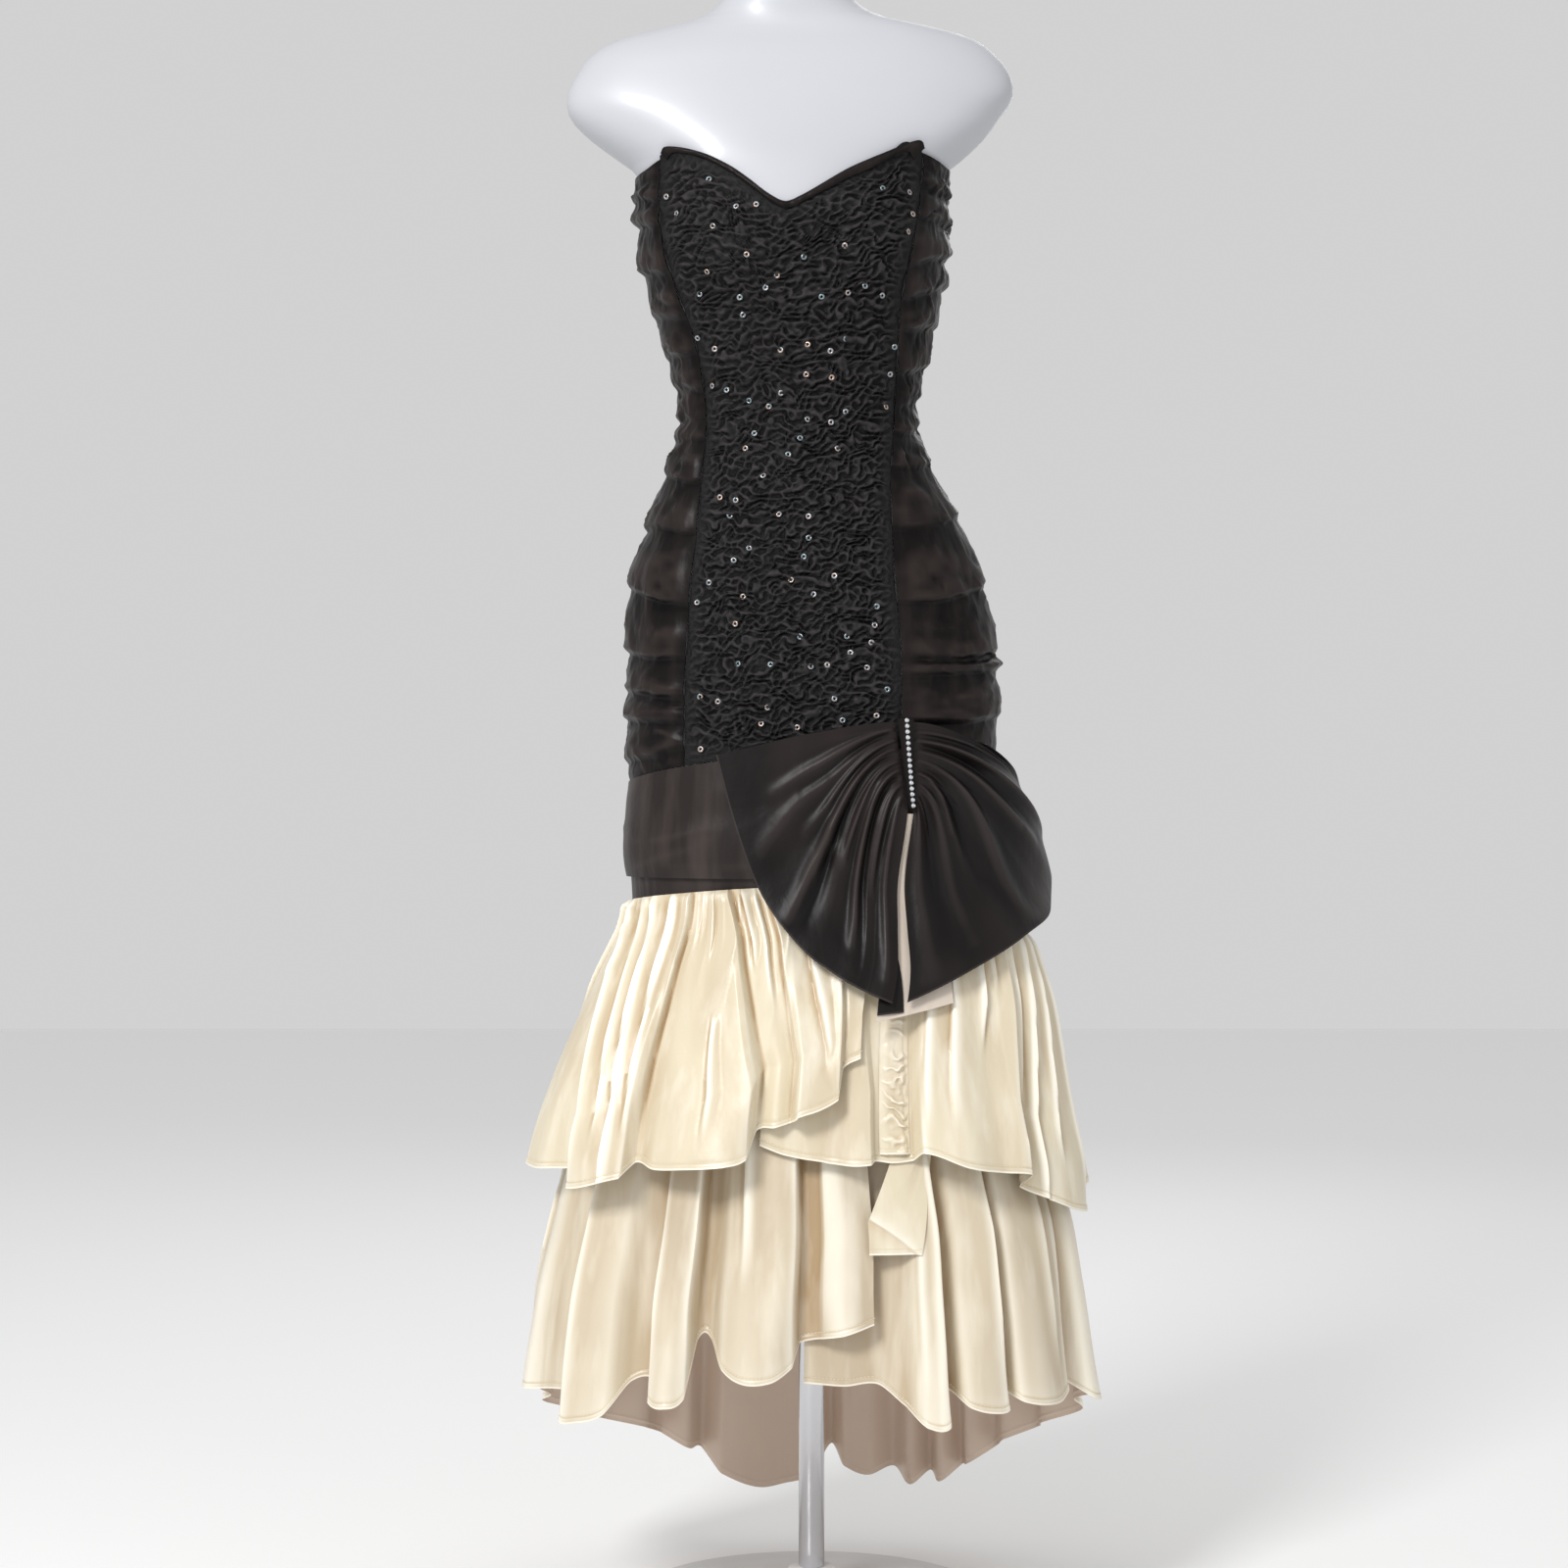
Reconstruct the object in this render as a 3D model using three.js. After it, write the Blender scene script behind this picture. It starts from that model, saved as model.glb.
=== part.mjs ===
// A strapless evening gown on a limbless dress form: a ruched satin bodice with a crinkled front
// panel, a hip band, a fan bow and two gathered, open-fronted skirt tiers, on a pole stand.
// Millimetres, +Z up, +X to the viewer's right of the front, the front faces -Y.
// The origin is the point of the floor under the pole.

import * as THREE from "three";

// Stand
const POLE_RADIUS = 12;
const BASE_RADIUS = 170;
const BASE_THICKNESS = 8;
const HUB_RADIUS = 24;
const HUB_HEIGHT = 34;
const POLE_SIDES = 24;
const BASE_SIDES = 48;

// Cloth
const FORM_CLEARANCE = 2.4; // from the figure to the inside of the bodice
const SATIN = 1.5; // wall of one layer
const BOW_WALL = 2.2; // satin folded double
const SEAM_GAP = 0.3;
const LAYER_STEP = 2; // from the face of one layer to the face of the next, at the skirt seam

// Figure
const CUP_HEIGHT = 1262;
const CUP_ANGLE = 31;
const CUP_OUT = 11;
const CUP_SPREAD = 19; // degrees
const CUP_TALL = 40;

const radians = THREE.MathUtils.degToRad;
const smooth = (x) => THREE.MathUtils.smoothstep(x, 0, 1);

// Cross-sections of the figure: its centre line, half width, depth before and behind, and the power
// of the oval, 2 being an ellipse
const FIGURE = [
  { z: 640, cx: 0, half: 164, front: 104, back: 114, power: 2.2 },
  { z: 664, cx: 0, half: 164, front: 104, back: 114, power: 2.2 },
  { z: 690, cx: 0, half: 164.5, front: 104.5, back: 114.5, power: 2.2 },
  { z: 713, cx: 0, half: 166, front: 105, back: 116, power: 2.2 },
  { z: 760, cx: 0, half: 166, front: 105, back: 118, power: 2.2 },
  { z: 805, cx: 0, half: 168, front: 105, back: 121, power: 2.2 },
  { z: 860, cx: 1, half: 169, front: 105, back: 124, power: 2.2 },
  { z: 900, cx: 0, half: 166, front: 103, back: 124, power: 2.2 },
  { z: 950, cx: -4, half: 161, front: 99, back: 120, power: 2.2 },
  { z: 1000, cx: -6, half: 146, front: 93, back: 110, power: 2.2 },
  { z: 1044, cx: -10, half: 127, front: 87, back: 97, power: 2.2 },
  { z: 1080, cx: -12, half: 113, front: 82, back: 86, power: 2.2 },
  { z: 1113, cx: -13, half: 106, front: 79, back: 78, power: 2.2 },
  { z: 1150, cx: -13, half: 112, front: 85, back: 80, power: 2.2 },
  { z: 1200, cx: -14, half: 126, front: 96, back: 86, power: 2.2 },
  { z: 1250, cx: -16, half: 137, front: 104, back: 91, power: 2.2 },
  { z: 1300, cx: -18, half: 141, front: 102, back: 92, power: 2.2 },
  { z: 1340, cx: -19, half: 146, front: 92, back: 90, power: 2.2 },
  { z: 1358, cx: -20.5, half: 167, front: 85, back: 89, power: 2.4 },
  { z: 1375, cx: -23, half: 187, front: 79, back: 88, power: 2.6 },
  { z: 1394, cx: -25, half: 203, front: 73, back: 86, power: 2.8 },
  { z: 1412, cx: -20, half: 210, front: 68, back: 83, power: 2.9 },
  { z: 1433, cx: -17, half: 203, front: 62, back: 78, power: 2.9 },
  { z: 1447, cx: -17, half: 193, front: 58, back: 73, power: 2.8 },
  { z: 1460, cx: -15, half: 177, front: 53, back: 67, power: 2.6 },
  { z: 1468, cx: -12, half: 157, front: 50, back: 62, power: 2.4 },
  { z: 1475, cx: -11, half: 130, front: 49, back: 58, power: 2.2 },
  { z: 1482, cx: -16, half: 99, front: 49, back: 55, power: 2 },
  { z: 1492, cx: -20, half: 75, front: 50, back: 52, power: 2 },
  { z: 1506, cx: -22, half: 62, front: 51, back: 50, power: 2 },
  { z: 1525, cx: -22, half: 55, front: 52, back: 50, power: 2 },
  { z: 1556, cx: -22, half: 53, front: 53, back: 51, power: 2 },
  { z: 1562, cx: -22, half: 48, front: 48, back: 46, power: 2 },
];

// Heights of the top edge, round the figure; angle 0 is the front and 90 the viewer's right
const NECKLINE = [
  { angle: -180, z: 1296 },
  { angle: -140, z: 1304 },
  { angle: -110, z: 1318 },
  { angle: -90, z: 1331 },
  { angle: -66, z: 1336 },
  { angle: -55, z: 1342 },
  { angle: -44, z: 1350 },
  { angle: -34, z: 1347 },
  { angle: -22, z: 1331 },
  { angle: -14, z: 1316 },
  { angle: -7, z: 1301 },
  { angle: -2, z: 1294 },
  { angle: 2, z: 1299 },
  { angle: 18, z: 1325 },
  { angle: 31, z: 1342 },
  { angle: 40, z: 1356 },
  { angle: 50, z: 1350 },
  { angle: 69, z: 1342 },
  { angle: 90, z: 1338 },
  { angle: 110, z: 1322 },
  { angle: 140, z: 1304 },
  { angle: 180, z: 1296 },
];

// The two long front seams, as distances from the centre line of the figure
const FRONT_SEAMS = [
  { z: 760, left: -116, right: 79 },
  { z: 807, left: -115, right: 79 },
  { z: 862, left: -116, right: 79 },
  { z: 912, left: -111, right: 79 },
  { z: 1000, left: -98, right: 78 },
  { z: 1050, left: -89, right: 81 },
  { z: 1090, left: -83, right: 85 },
  { z: 1121, left: -83, right: 87 },
  { z: 1171, left: -91, right: 90 },
  { z: 1217, left: -105, right: 94 },
  { z: 1262, left: -116, right: 103 },
  { z: 1295, left: -119, right: 112 },
  { z: 1340, left: -119, right: 119 },
];

// Heights of the seams of the hip band, round the figure
const BAND_TOP = [
  { angle: -180, z: 764 },
  { angle: -90, z: 770 },
  { angle: -45, z: 783 },
  { angle: -20, z: 791 },
  { angle: 20, z: 799 },
  { angle: 60, z: 800 },
  { angle: 90, z: 792 },
  { angle: 180, z: 764 },
];
const BAND_BOTTOM = 682;
const SKIRT_SEAM = [
  { angle: -180, z: 652 },
  { angle: -90, z: 659 },
  { angle: -50, z: 667 },
  { angle: -15, z: 674 },
  { angle: 20, z: 677 },
  { angle: 60, z: 672 },
  { angle: 90, z: 663 },
  { angle: 180, z: 652 },
];

// Ruching of the side and back panels, a row for each tuck: its height at the front seam, at the
// side and at the zip, and how far it stands out
const RUCHING_LEFT = [
  { seam: 1303, side: 1316, back: 1280, out: 6 },
  { seam: 1282, side: 1295, back: 1262, out: 7 },
  { seam: 1238, side: 1247, back: 1232, out: 6 },
  { seam: 1200, side: 1206, back: 1200, out: 5 },
  { seam: 1168, side: 1168, back: 1170, out: 5 },
  { seam: 1132, side: 1142, back: 1138, out: 5 },
  { seam: 1108, side: 1112, back: 1112, out: 4 },
  { seam: 1086, side: 1094, back: 1090, out: 5 },
  { seam: 1044, side: 1060, back: 1052, out: 6 },
  { seam: 999, side: 1010, back: 1010, out: 6 },
  { seam: 935, side: 958, back: 962, out: 7 },
  { seam: 882, side: 893, back: 905, out: 7 },
  { seam: 848, side: 856, back: 862, out: 6 },
  { seam: 826, side: 828, back: 832, out: 6 },
  { seam: 800, side: 790, back: 798, out: 6 },
];
const RUCHING_RIGHT = [
  { seam: 1318, side: 1312, back: 1280, out: 5 },
  { seam: 1290, side: 1284, back: 1262, out: 6 },
  { seam: 1246, side: 1262, back: 1232, out: 7 },
  { seam: 1216, side: 1234, back: 1200, out: 6 },
  { seam: 1186, side: 1196, back: 1170, out: 5 },
  { seam: 1148, side: 1160, back: 1138, out: 6 },
  { seam: 1118, side: 1130, back: 1112, out: 4 },
  { seam: 1092, side: 1104, back: 1090, out: 5 },
  { seam: 1058, side: 1070, back: 1052, out: 5 },
  { seam: 1004, side: 1018, back: 1010, out: 5 },
  { seam: 932, side: 956, back: 962, out: 7 },
  { seam: 884, side: 893, back: 905, out: 6 },
  { seam: 868, side: 878, back: 862, out: 6 },
  { seam: 826, side: 832, back: 832, out: 6 },
];
const SIDE_SEAM = 97; // angle of the side seams

// Cross-sections of the two skirt tiers, midway between their crests and valleys
const UPPER_TIER = [
  { z: 370, cx: -2, half: 257, front: 186, back: 216 },
  { z: 418, cx: -3, half: 252, front: 180, back: 209 },
  { z: 455, cx: -3, half: 245, front: 172, back: 200 },
  { z: 492, cx: -1, half: 236, front: 163, back: 190 },
  { z: 529, cx: 2, half: 226, front: 153, back: 178 },
  { z: 566, cx: 6, half: 215, front: 143, back: 164 },
  { z: 602, cx: 8, half: 202, front: 131, back: 149 },
  { z: 621, cx: 9, half: 194, front: 124, back: 140 },
  { z: 640, cx: 5, half: 181, front: 117, back: 130 },
  { z: 664, cx: 0, half: 169.2, front: 109.2, back: 119.2 },
];
const LOWER_TIER = [
  { z: 40, cx: 1, half: 269, front: 196, back: 230 },
  { z: 100, cx: 1, half: 267, front: 195, back: 226 },
  { z: 197, cx: 1, half: 262, front: 188, back: 217 },
  { z: 234, cx: 0, half: 258, front: 182, back: 212 },
  { z: 271, cx: 0, half: 253, front: 175, back: 206 },
  { z: 308, cx: 0, half: 248, front: 168, back: 199 },
  { z: 363, cx: 2, half: 238, front: 157, back: 187 },
  { z: 400, cx: 1, half: 229, front: 149, back: 178 },
  { z: 450, cx: 0, half: 217, front: 139, back: 167 },
  { z: 500, cx: 1, half: 204, front: 130, back: 155 },
  { z: 550, cx: 3, half: 192, front: 122, back: 142 },
  { z: 600, cx: 3, half: 180, front: 114, back: 130 },
  { z: 664, cx: 0, half: 165.2, front: 105.2, back: 115.2 },
];

// Folds of the skirt, a row for each crest, flank and valley: its angle at the hem and at the
// seam, how far it stands out at the hem, and the height of the hem there; under says where the half
// lies beneath the other half
const UPPER_LEFT_FOLDS = [
  { hem: -179.9, top: -179.9, out: 0, z: 382, under: 0 },
  { hem: -170, top: -172, out: 12, z: 380, under: 0 },
  { hem: -160, top: -163, out: -10, z: 386, under: 0 },
  { hem: -150, top: -153, out: 13, z: 384, under: 0 },
  { hem: -141, top: -144, out: -9, z: 392, under: 0 },
  { hem: -131, top: -134, out: 12, z: 390, under: 0 },
  { hem: -122, top: -124, out: -10, z: 400, under: 0 },
  { hem: -111, top: -113, out: 12, z: 398, under: 0 },
  { hem: -101, top: -103, out: -9, z: 410, under: 0 },
  { hem: -90, top: -92, out: 9, z: 414, under: 0 },
  { hem: -78, top: -86, out: 6, z: 413, under: 0 },
  { hem: -67, top: -80, out: -8, z: 416, under: 0 },
  { hem: -56, top: -76, out: -9, z: 417, under: 0 },
  { hem: -53.8, top: -73, out: 13, z: 404, under: 0 },
  { hem: -39, top: -41, out: 9, z: 416, under: 0 },
  { hem: -37.3, top: -38.5, out: -7, z: 429, under: 0 },
  { hem: -31, top: -34, out: 4, z: 425, under: 0 },
  { hem: -23, top: -30, out: 12, z: 427, under: 0 },
  { hem: -15, top: -27.5, out: 14, z: 430, under: 0 },
  { hem: -11, top: -25.5, out: 8, z: 436, under: 0 },
  { hem: -9.6, top: -24, out: -7, z: 460, under: 0 },
  { hem: -6, top: -18, out: -1, z: 463, under: 0 },
  { hem: -3.2, top: -12, out: -5, z: 467, under: 0 },
  { hem: -1.9, top: -9, out: 8, z: 473, under: 0 },
  { hem: 4.4, top: 3, out: 10, z: 488, under: 0 },
  { hem: 5.2, top: 6, out: 3, z: 515, under: 0 },
  { hem: 8.6, top: 12, out: 5, z: 524, under: 0 },
];
const UPPER_RIGHT_FOLDS = [
  { hem: -9, top: -13, out: -13, z: 446, under: 1 },
  { hem: -4.5, top: -8, out: -15, z: 438, under: 1 },
  { hem: 2, top: -2, out: -14, z: 432, under: 1 },
  { hem: 4.6, top: 0.5, out: -11, z: 430, under: 1 },
  { hem: 7.6, top: 3, out: -4, z: 429, under: 1 },
  { hem: 11.0, top: 5.5, out: -3, z: 430, under: 1 },
  { hem: 12.2, top: 8, out: -15, z: 432, under: 1 },
  { hem: 16, top: 14, out: -17, z: 430, under: 1 },
  { hem: 20.6, top: 20.6, out: -15, z: 432, under: 1 },
  { hem: 22, top: 25, out: 3, z: 440, under: 0 },
  { hem: 31, top: 38, out: 12, z: 427, under: 0 },
  { hem: 40, top: 47, out: 9, z: 421, under: 0 },
  { hem: 47, top: 54.5, out: 10, z: 418, under: 0 },
  { hem: 48.4, top: 56, out: -8, z: 404, under: 0 },
  { hem: 55, top: 68, out: 6, z: 392, under: 0 },
  { hem: 64.5, top: 76, out: 11, z: 380, under: 0 },
  { hem: 76, top: 84, out: 6, z: 376, under: 0 },
  { hem: 86, top: 90, out: -6, z: 384, under: 0 },
  { hem: 95, top: 96, out: 9, z: 394, under: 0 },
  { hem: 105, top: 106, out: -9, z: 396, under: 0 },
  { hem: 116, top: 117, out: 12, z: 388, under: 0 },
  { hem: 126, top: 128, out: -10, z: 392, under: 0 },
  { hem: 137, top: 139, out: 13, z: 384, under: 0 },
  { hem: 147, top: 149, out: -9, z: 388, under: 0 },
  { hem: 158, top: 160, out: 13, z: 380, under: 0 },
  { hem: 168, top: 170, out: -10, z: 386, under: 0 },
  { hem: 176, top: 177, out: 4, z: 382, under: 0 },
  { hem: 179.9, top: 179.9, out: 0, z: 382, under: 0 },
];
const LOWER_LEFT_FOLDS = [
  { hem: -179.9, top: -179.9, out: -8, z: 68, under: 0 },
  { hem: -177, top: -177, out: -11, z: 66, under: 0 },
  { hem: -170, top: -170, out: -14, z: 62, under: 0 },
  { hem: -162, top: -162, out: -9, z: 76, under: 0 },
  { hem: -158.5, top: -158, out: 9, z: 100, under: 0 },
  { hem: -154, top: -154, out: -8, z: 104, under: 0 },
  { hem: -149, top: -149, out: 8, z: 118, under: 0 },
  { hem: -142, top: -142, out: -9, z: 130, under: 0 },
  { hem: -133, top: -133, out: 10, z: 140, under: 0 },
  { hem: -123, top: -123, out: -10, z: 154, under: 0 },
  { hem: -112, top: -112, out: 11, z: 170, under: 0 },
  { hem: -101, top: -101, out: -8, z: 186, under: 0 },
  { hem: -91, top: -91, out: 7, z: 204, under: 0 },
  { hem: -80, top: -80, out: 8, z: 208, under: 0 },
  { hem: -68, top: -68, out: -6, z: 214, under: 0 },
  { hem: -57, top: -57, out: -9, z: 214, under: 0 },
  { hem: -55, top: -55, out: 12, z: 195, under: 0 },
  { hem: -49, top: -49, out: 14, z: 196, under: 0 },
  { hem: -43, top: -43, out: 6, z: 204, under: 0 },
  { hem: -38.8, top: -39, out: -9, z: 232, under: 0 },
  { hem: -33.2, top: -33, out: -12, z: 236, under: 0 },
  { hem: -31.8, top: -31.5, out: 6, z: 219, under: 0 },
  { hem: -27.5, top: -27.5, out: 14, z: 216, under: 0 },
  { hem: -23.6, top: -23.6, out: 6, z: 224, under: 0 },
  { hem: -22.6, top: -22.6, out: -11, z: 272, under: 0 },
  { hem: -20, top: -20, out: -13, z: 275, under: 0 },
  { hem: -16.2, top: -16, out: 4, z: 250, under: 0 },
  { hem: -11.5, top: -11.5, out: 14, z: 240, under: 0 },
  { hem: -6.5, top: -6.5, out: 14, z: 242, under: 0 },
  { hem: -3.2, top: -3, out: 5, z: 253, under: 0 },
  { hem: -2.0, top: -1.8, out: -9, z: 272, under: 0 },
  { hem: 5, top: 5, out: 5, z: 280, under: 0 },
  { hem: 10.6, top: 11, out: 4, z: 289, under: 0 },
];
const LOWER_RIGHT_FOLDS = [
  { hem: -1.3, top: -1, out: -15, z: 236, under: 1 },
  { hem: 5, top: 5, out: -16, z: 233, under: 1 },
  { hem: 11.5, top: 11.5, out: -14, z: 235, under: 1 },
  { hem: 16.5, top: 16.5, out: -3, z: 217, under: 1 },
  { hem: 19.6, top: 19.6, out: 10, z: 201, under: 0 },
  { hem: 24.2, top: 24.2, out: 12, z: 201, under: 0 },
  { hem: 25.6, top: 25.6, out: -9, z: 229, under: 0 },
  { hem: 29.5, top: 29.5, out: 6, z: 215, under: 0 },
  { hem: 34, top: 34, out: 12, z: 210, under: 0 },
  { hem: 38.6, top: 38.6, out: 8, z: 211, under: 0 },
  { hem: 39.8, top: 39.8, out: -9, z: 225, under: 0 },
  { hem: 43, top: 43, out: 6, z: 216, under: 0 },
  { hem: 47.5, top: 47.5, out: 12, z: 212, under: 0 },
  { hem: 55, top: 55, out: 9, z: 211, under: 0 },
  { hem: 61, top: 61, out: 2, z: 218, under: 0 },
  { hem: 66, top: 66, out: -9, z: 222, under: 0 },
  { hem: 72, top: 72, out: 7, z: 204, under: 0 },
  { hem: 80, top: 80, out: 7, z: 199, under: 0 },
  { hem: 90, top: 90, out: 5, z: 195, under: 0 },
  { hem: 101, top: 101, out: -8, z: 182, under: 0 },
  { hem: 111, top: 111, out: 10, z: 162, under: 0 },
  { hem: 120, top: 120, out: -8, z: 146, under: 0 },
  { hem: 128, top: 128, out: 10, z: 134, under: 0 },
  { hem: 135, top: 135, out: -6, z: 120, under: 0 },
  { hem: 140, top: 140, out: 8, z: 108, under: 0 },
  { hem: 145, top: 145, out: -9, z: 92, under: 0 },
  { hem: 148.6, top: 149, out: 7, z: 86, under: 0 },
  { hem: 152.4, top: 152, out: -10, z: 71, under: 0 },
  { hem: 156, top: 156, out: 6, z: 78, under: 0 },
  { hem: 159.6, top: 160, out: -10, z: 66, under: 0 },
  { hem: 164, top: 164, out: 6, z: 80, under: 0 },
  { hem: 169, top: 169, out: -12, z: 74, under: 0 },
  { hem: 174, top: 174, out: -7, z: 82, under: 0 },
  { hem: 176.6, top: 176.6, out: 13, z: 100, under: 0 },
  { hem: 179.9, top: 179.9, out: -8, z: 68, under: 0 },
];

// The hip bow: the surface that it lies on, and the outlines of its two wings from the top corner
// round to the slit, each point with how far it stands out from that surface
const BOW_BED = [
  { z: 530, cx: 2, half: 240, front: 168, back: 190 },
  { z: 566, cx: 6, half: 229, front: 158, back: 178 },
  { z: 602, cx: 8, half: 215, front: 146, back: 162 },
  { z: 640, cx: 5, half: 197, front: 133, back: 145 },
  { z: 680, cx: 1, half: 185, front: 124, back: 133 },
  { z: 740, cx: 0, half: 182, front: 121, back: 132 },
  { z: 800, cx: 0, half: 183, front: 120, back: 134 },
  { z: 840, cx: 1, half: 184, front: 120, back: 138 },
];
const KNOT = { angle: 24.2, top: 824, bottom: 747, half: 2.7, halfLow: 1.3, slant: 2.6 };
const LEFT_WING = [
  { angle: -25.5, z: 794, out: 3 },
  { angle: -20.5, z: 737, out: 4 },
  { angle: -13, z: 672, out: 6 },
  { angle: -5.5, z: 630, out: 5 },
  { angle: 1.5, z: 601, out: 4 },
  { angle: 8, z: 584, out: 4 },
  { angle: 14, z: 573, out: 5 },
];
const RIGHT_WING = [
  { angle: 57, z: 803, out: 3 },
  { angle: 90, z: 766, out: 9 },
  { angle: 101, z: 722, out: 33 },
  { angle: 97, z: 683, out: 38 },
  { angle: 84, z: 651, out: 22 },
  { angle: 60, z: 630, out: 11 },
  { angle: 38, z: 605, out: 7 },
  { angle: 17.4, z: 574, out: 5 },
];
const SLIT_BOW = { left: 1.8, right: -0.4 }; // degrees by which the slit's edges bend
const WING_PLEATS = [
  { at: 0.0, rise: 0 },
  { at: 0.1, rise: 1 },
  { at: 0.17, rise: 0 },
  { at: 0.25, rise: 6 },
  { at: 0.33, rise: 0 },
  { at: 0.42, rise: 8 },
  { at: 0.5, rise: 0 },
  { at: 0.58, rise: 7 },
  { at: 0.66, rise: 0 },
  { at: 0.75, rise: 8 },
  { at: 0.84, rise: 0 },
  { at: 0.92, rise: 5 },
  { at: 1.0, rise: 1 },
];
const WING_STEPS = 8;
const WING_START = 2; // how far a wing stands out from its bed beside the knot
const DEGREE = 3; // millimetres that stand for a degree when a wing is drawn flat

// A value of a table at a place, smooth through the rows
function read(table, place, column, key) {
  const last = table.length - 1;
  let i = 0;
  while (i < last - 1 && place > table[i + 1][key]) i++;
  const [a, b] = [table[i], table[i + 1]];
  const [before, after] = [table[Math.max(i - 1, 0)], table[Math.min(i + 2, last)]];
  const span = b[key] - a[key];
  const f = THREE.MathUtils.clamp((place - a[key]) / span, 0, 1);
  const slopeA = ((b[column] - before[column]) / (b[key] - before[key])) * span;
  const slopeB = ((after[column] - a[column]) / (after[key] - a[key])) * span;
  const [f2, f3] = [f * f, f * f * f];
  return (
    (2 * f3 - 3 * f2 + 1) * a[column] +
    (f3 - 2 * f2 + f) * slopeA +
    (3 * f2 - 2 * f3) * b[column] +
    (f3 - f2) * slopeB
  );
}

const ROUNDNESS = 2.2;

function sectionAt(table, z) {
  const section = { power: ROUNDNESS };
  for (const column of Object.keys(table[0])) {
    if (column !== "z") section[column] = read(table, z, column, "z");
  }
  return section;
}

// A point of an oval section at an angle, moved out along the section's normal
function ovalPoint(section, angle, z, out) {
  const { cx, half, front, back, power } = section;
  const [s, c] = [Math.sin(radians(angle)), Math.cos(radians(angle))];
  const depth = c > 0 ? front : back;
  const x = half * Math.sign(s) * Math.abs(s) ** (2 / power);
  const y = -depth * Math.sign(c) * Math.abs(c) ** (2 / power);
  const nx = (Math.sign(x) * Math.abs(x / half) ** (power - 1)) / half;
  const ny = (Math.sign(y) * Math.abs(y / depth) ** (power - 1)) / depth;
  const length = Math.hypot(nx, ny);
  return new THREE.Vector3(cx + x + (out * nx) / length, y + (out * ny) / length, z);
}

// How far the bodice's cups stand out from the plain figure
function cup(angle, z) {
  const across = (Math.abs(angle) - CUP_ANGLE) / CUP_SPREAD;
  const up = (z - CUP_HEIGHT) / CUP_TALL;
  return CUP_OUT * Math.exp(-across * across - up * up);
}

function figurePoint(angle, z, out) {
  return ovalPoint(sectionAt(FIGURE, z), angle, z, out + cup(angle, z));
}

// The angle of a front seam at a height
function seamAngle(side, z) {
  const { half, power } = sectionAt(FIGURE, z);
  const share = read(FRONT_SEAMS, z, side, "z") / half;
  const s = Math.sign(share) * Math.min(Math.abs(share), 1) ** (power / 2);
  return THREE.MathUtils.radToDeg(Math.asin(s));
}

// A closed wall between an outer and an inner grid of points, grid[across][down]
function wall(outer, inner, isRing = false) {
  const [across, down] = [outer.length, outer[0].length];
  const positions = [...outer.flat(), ...inner.flat()].flatMap((p) => [p.x, p.y, p.z]);
  const [out, back] = [(i, j) => (i % across) * down + j, (i, j) => (across + (i % across)) * down + j];
  const faces = [];
  const quad = (a, b, c, d) => faces.push(a, b, c, c, b, d);
  const columns = isRing ? across : across - 1;
  for (let i = 0; i < columns; i++) {
    for (let j = 0; j < down - 1; j++) {
      quad(out(i, j), out(i, j + 1), out(i + 1, j), out(i + 1, j + 1));
      quad(back(i, j), back(i + 1, j), back(i, j + 1), back(i + 1, j + 1));
    }
    quad(back(i, 0), out(i, 0), back(i + 1, 0), out(i + 1, 0));
    quad(out(i, down - 1), back(i, down - 1), out(i + 1, down - 1), back(i + 1, down - 1));
  }
  for (let j = 0; !isRing && j < down - 1; j++) {
    quad(back(0, j), back(0, j + 1), out(0, j), out(0, j + 1));
    quad(out(across - 1, j), out(across - 1, j + 1), back(across - 1, j), back(across - 1, j + 1));
  }
  const geometry = new THREE.BufferGeometry();
  geometry.setAttribute("position", new THREE.Float32BufferAttribute(positions, 3));
  geometry.setIndex(faces);
  geometry.computeVertexNormals();
  return geometry;
}

// The same grid of points, moved in along the surface's own normals
function movedIn(grid, thickness) {
  return grid.map((column, i) =>
    column.map((p, j) => {
      const acrossStep = (grid[i + 1] ?? column)[j].clone().sub((grid[i - 1] ?? column)[j]);
      const downStep = (column[j + 1] ?? p).clone().sub(column[j - 1] ?? p);
      const normal = downStep.cross(acrossStep).normalize();
      return p.clone().addScaledVector(normal, -thickness);
    }),
  );
}

const grid = (across, down, point) =>
  Array.from({ length: across + 1 }, (_, i) =>
    Array.from({ length: down + 1 }, (_, j) => point(i / across, j / down)),
  );

function mesh(name, geometry, material) {
  const made = new THREE.Mesh(geometry, material);
  made.name = name;
  return made;
}

const material = (color, roughness, metalness = 0) =>
  new THREE.MeshStandardMaterial({ color, roughness, metalness });
const BLACK_SATIN = material(0x1c1718, 0.38);
const BLACK_CRINKLE = material(0x121114, 0.75);
const CREAM_SATIN = material(0xe9dcbc, 0.35);
const WHITE_PLASTIC = material(0xe8e8ec, 0.3);
const STEEL = material(0xa8a8ac, 0.3, 1);
const WHITE_ENAMEL = material(0xe6e6e6, 0.4);
const PALE_LINEN = material(0xcdbfb6, 0.6);

// The bare form, closed at the neck and under the hips
const FORM_SIDES = 36;
const FORM_RINGS = [700, 760, 820, 870, 920, 970, 1015, 1050, 1080, 1100, 1122, 1146, 1180, 1220, 1260,
  1300, 1326];
const FORM_CUP_INSET = 0.1; // share of the cups by which the form is flatter than the bodice
const GRIP = { z: 1285, tall: 45, inset: 1.2, out: 0.6 }; // the form swells to meet the bodice

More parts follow.
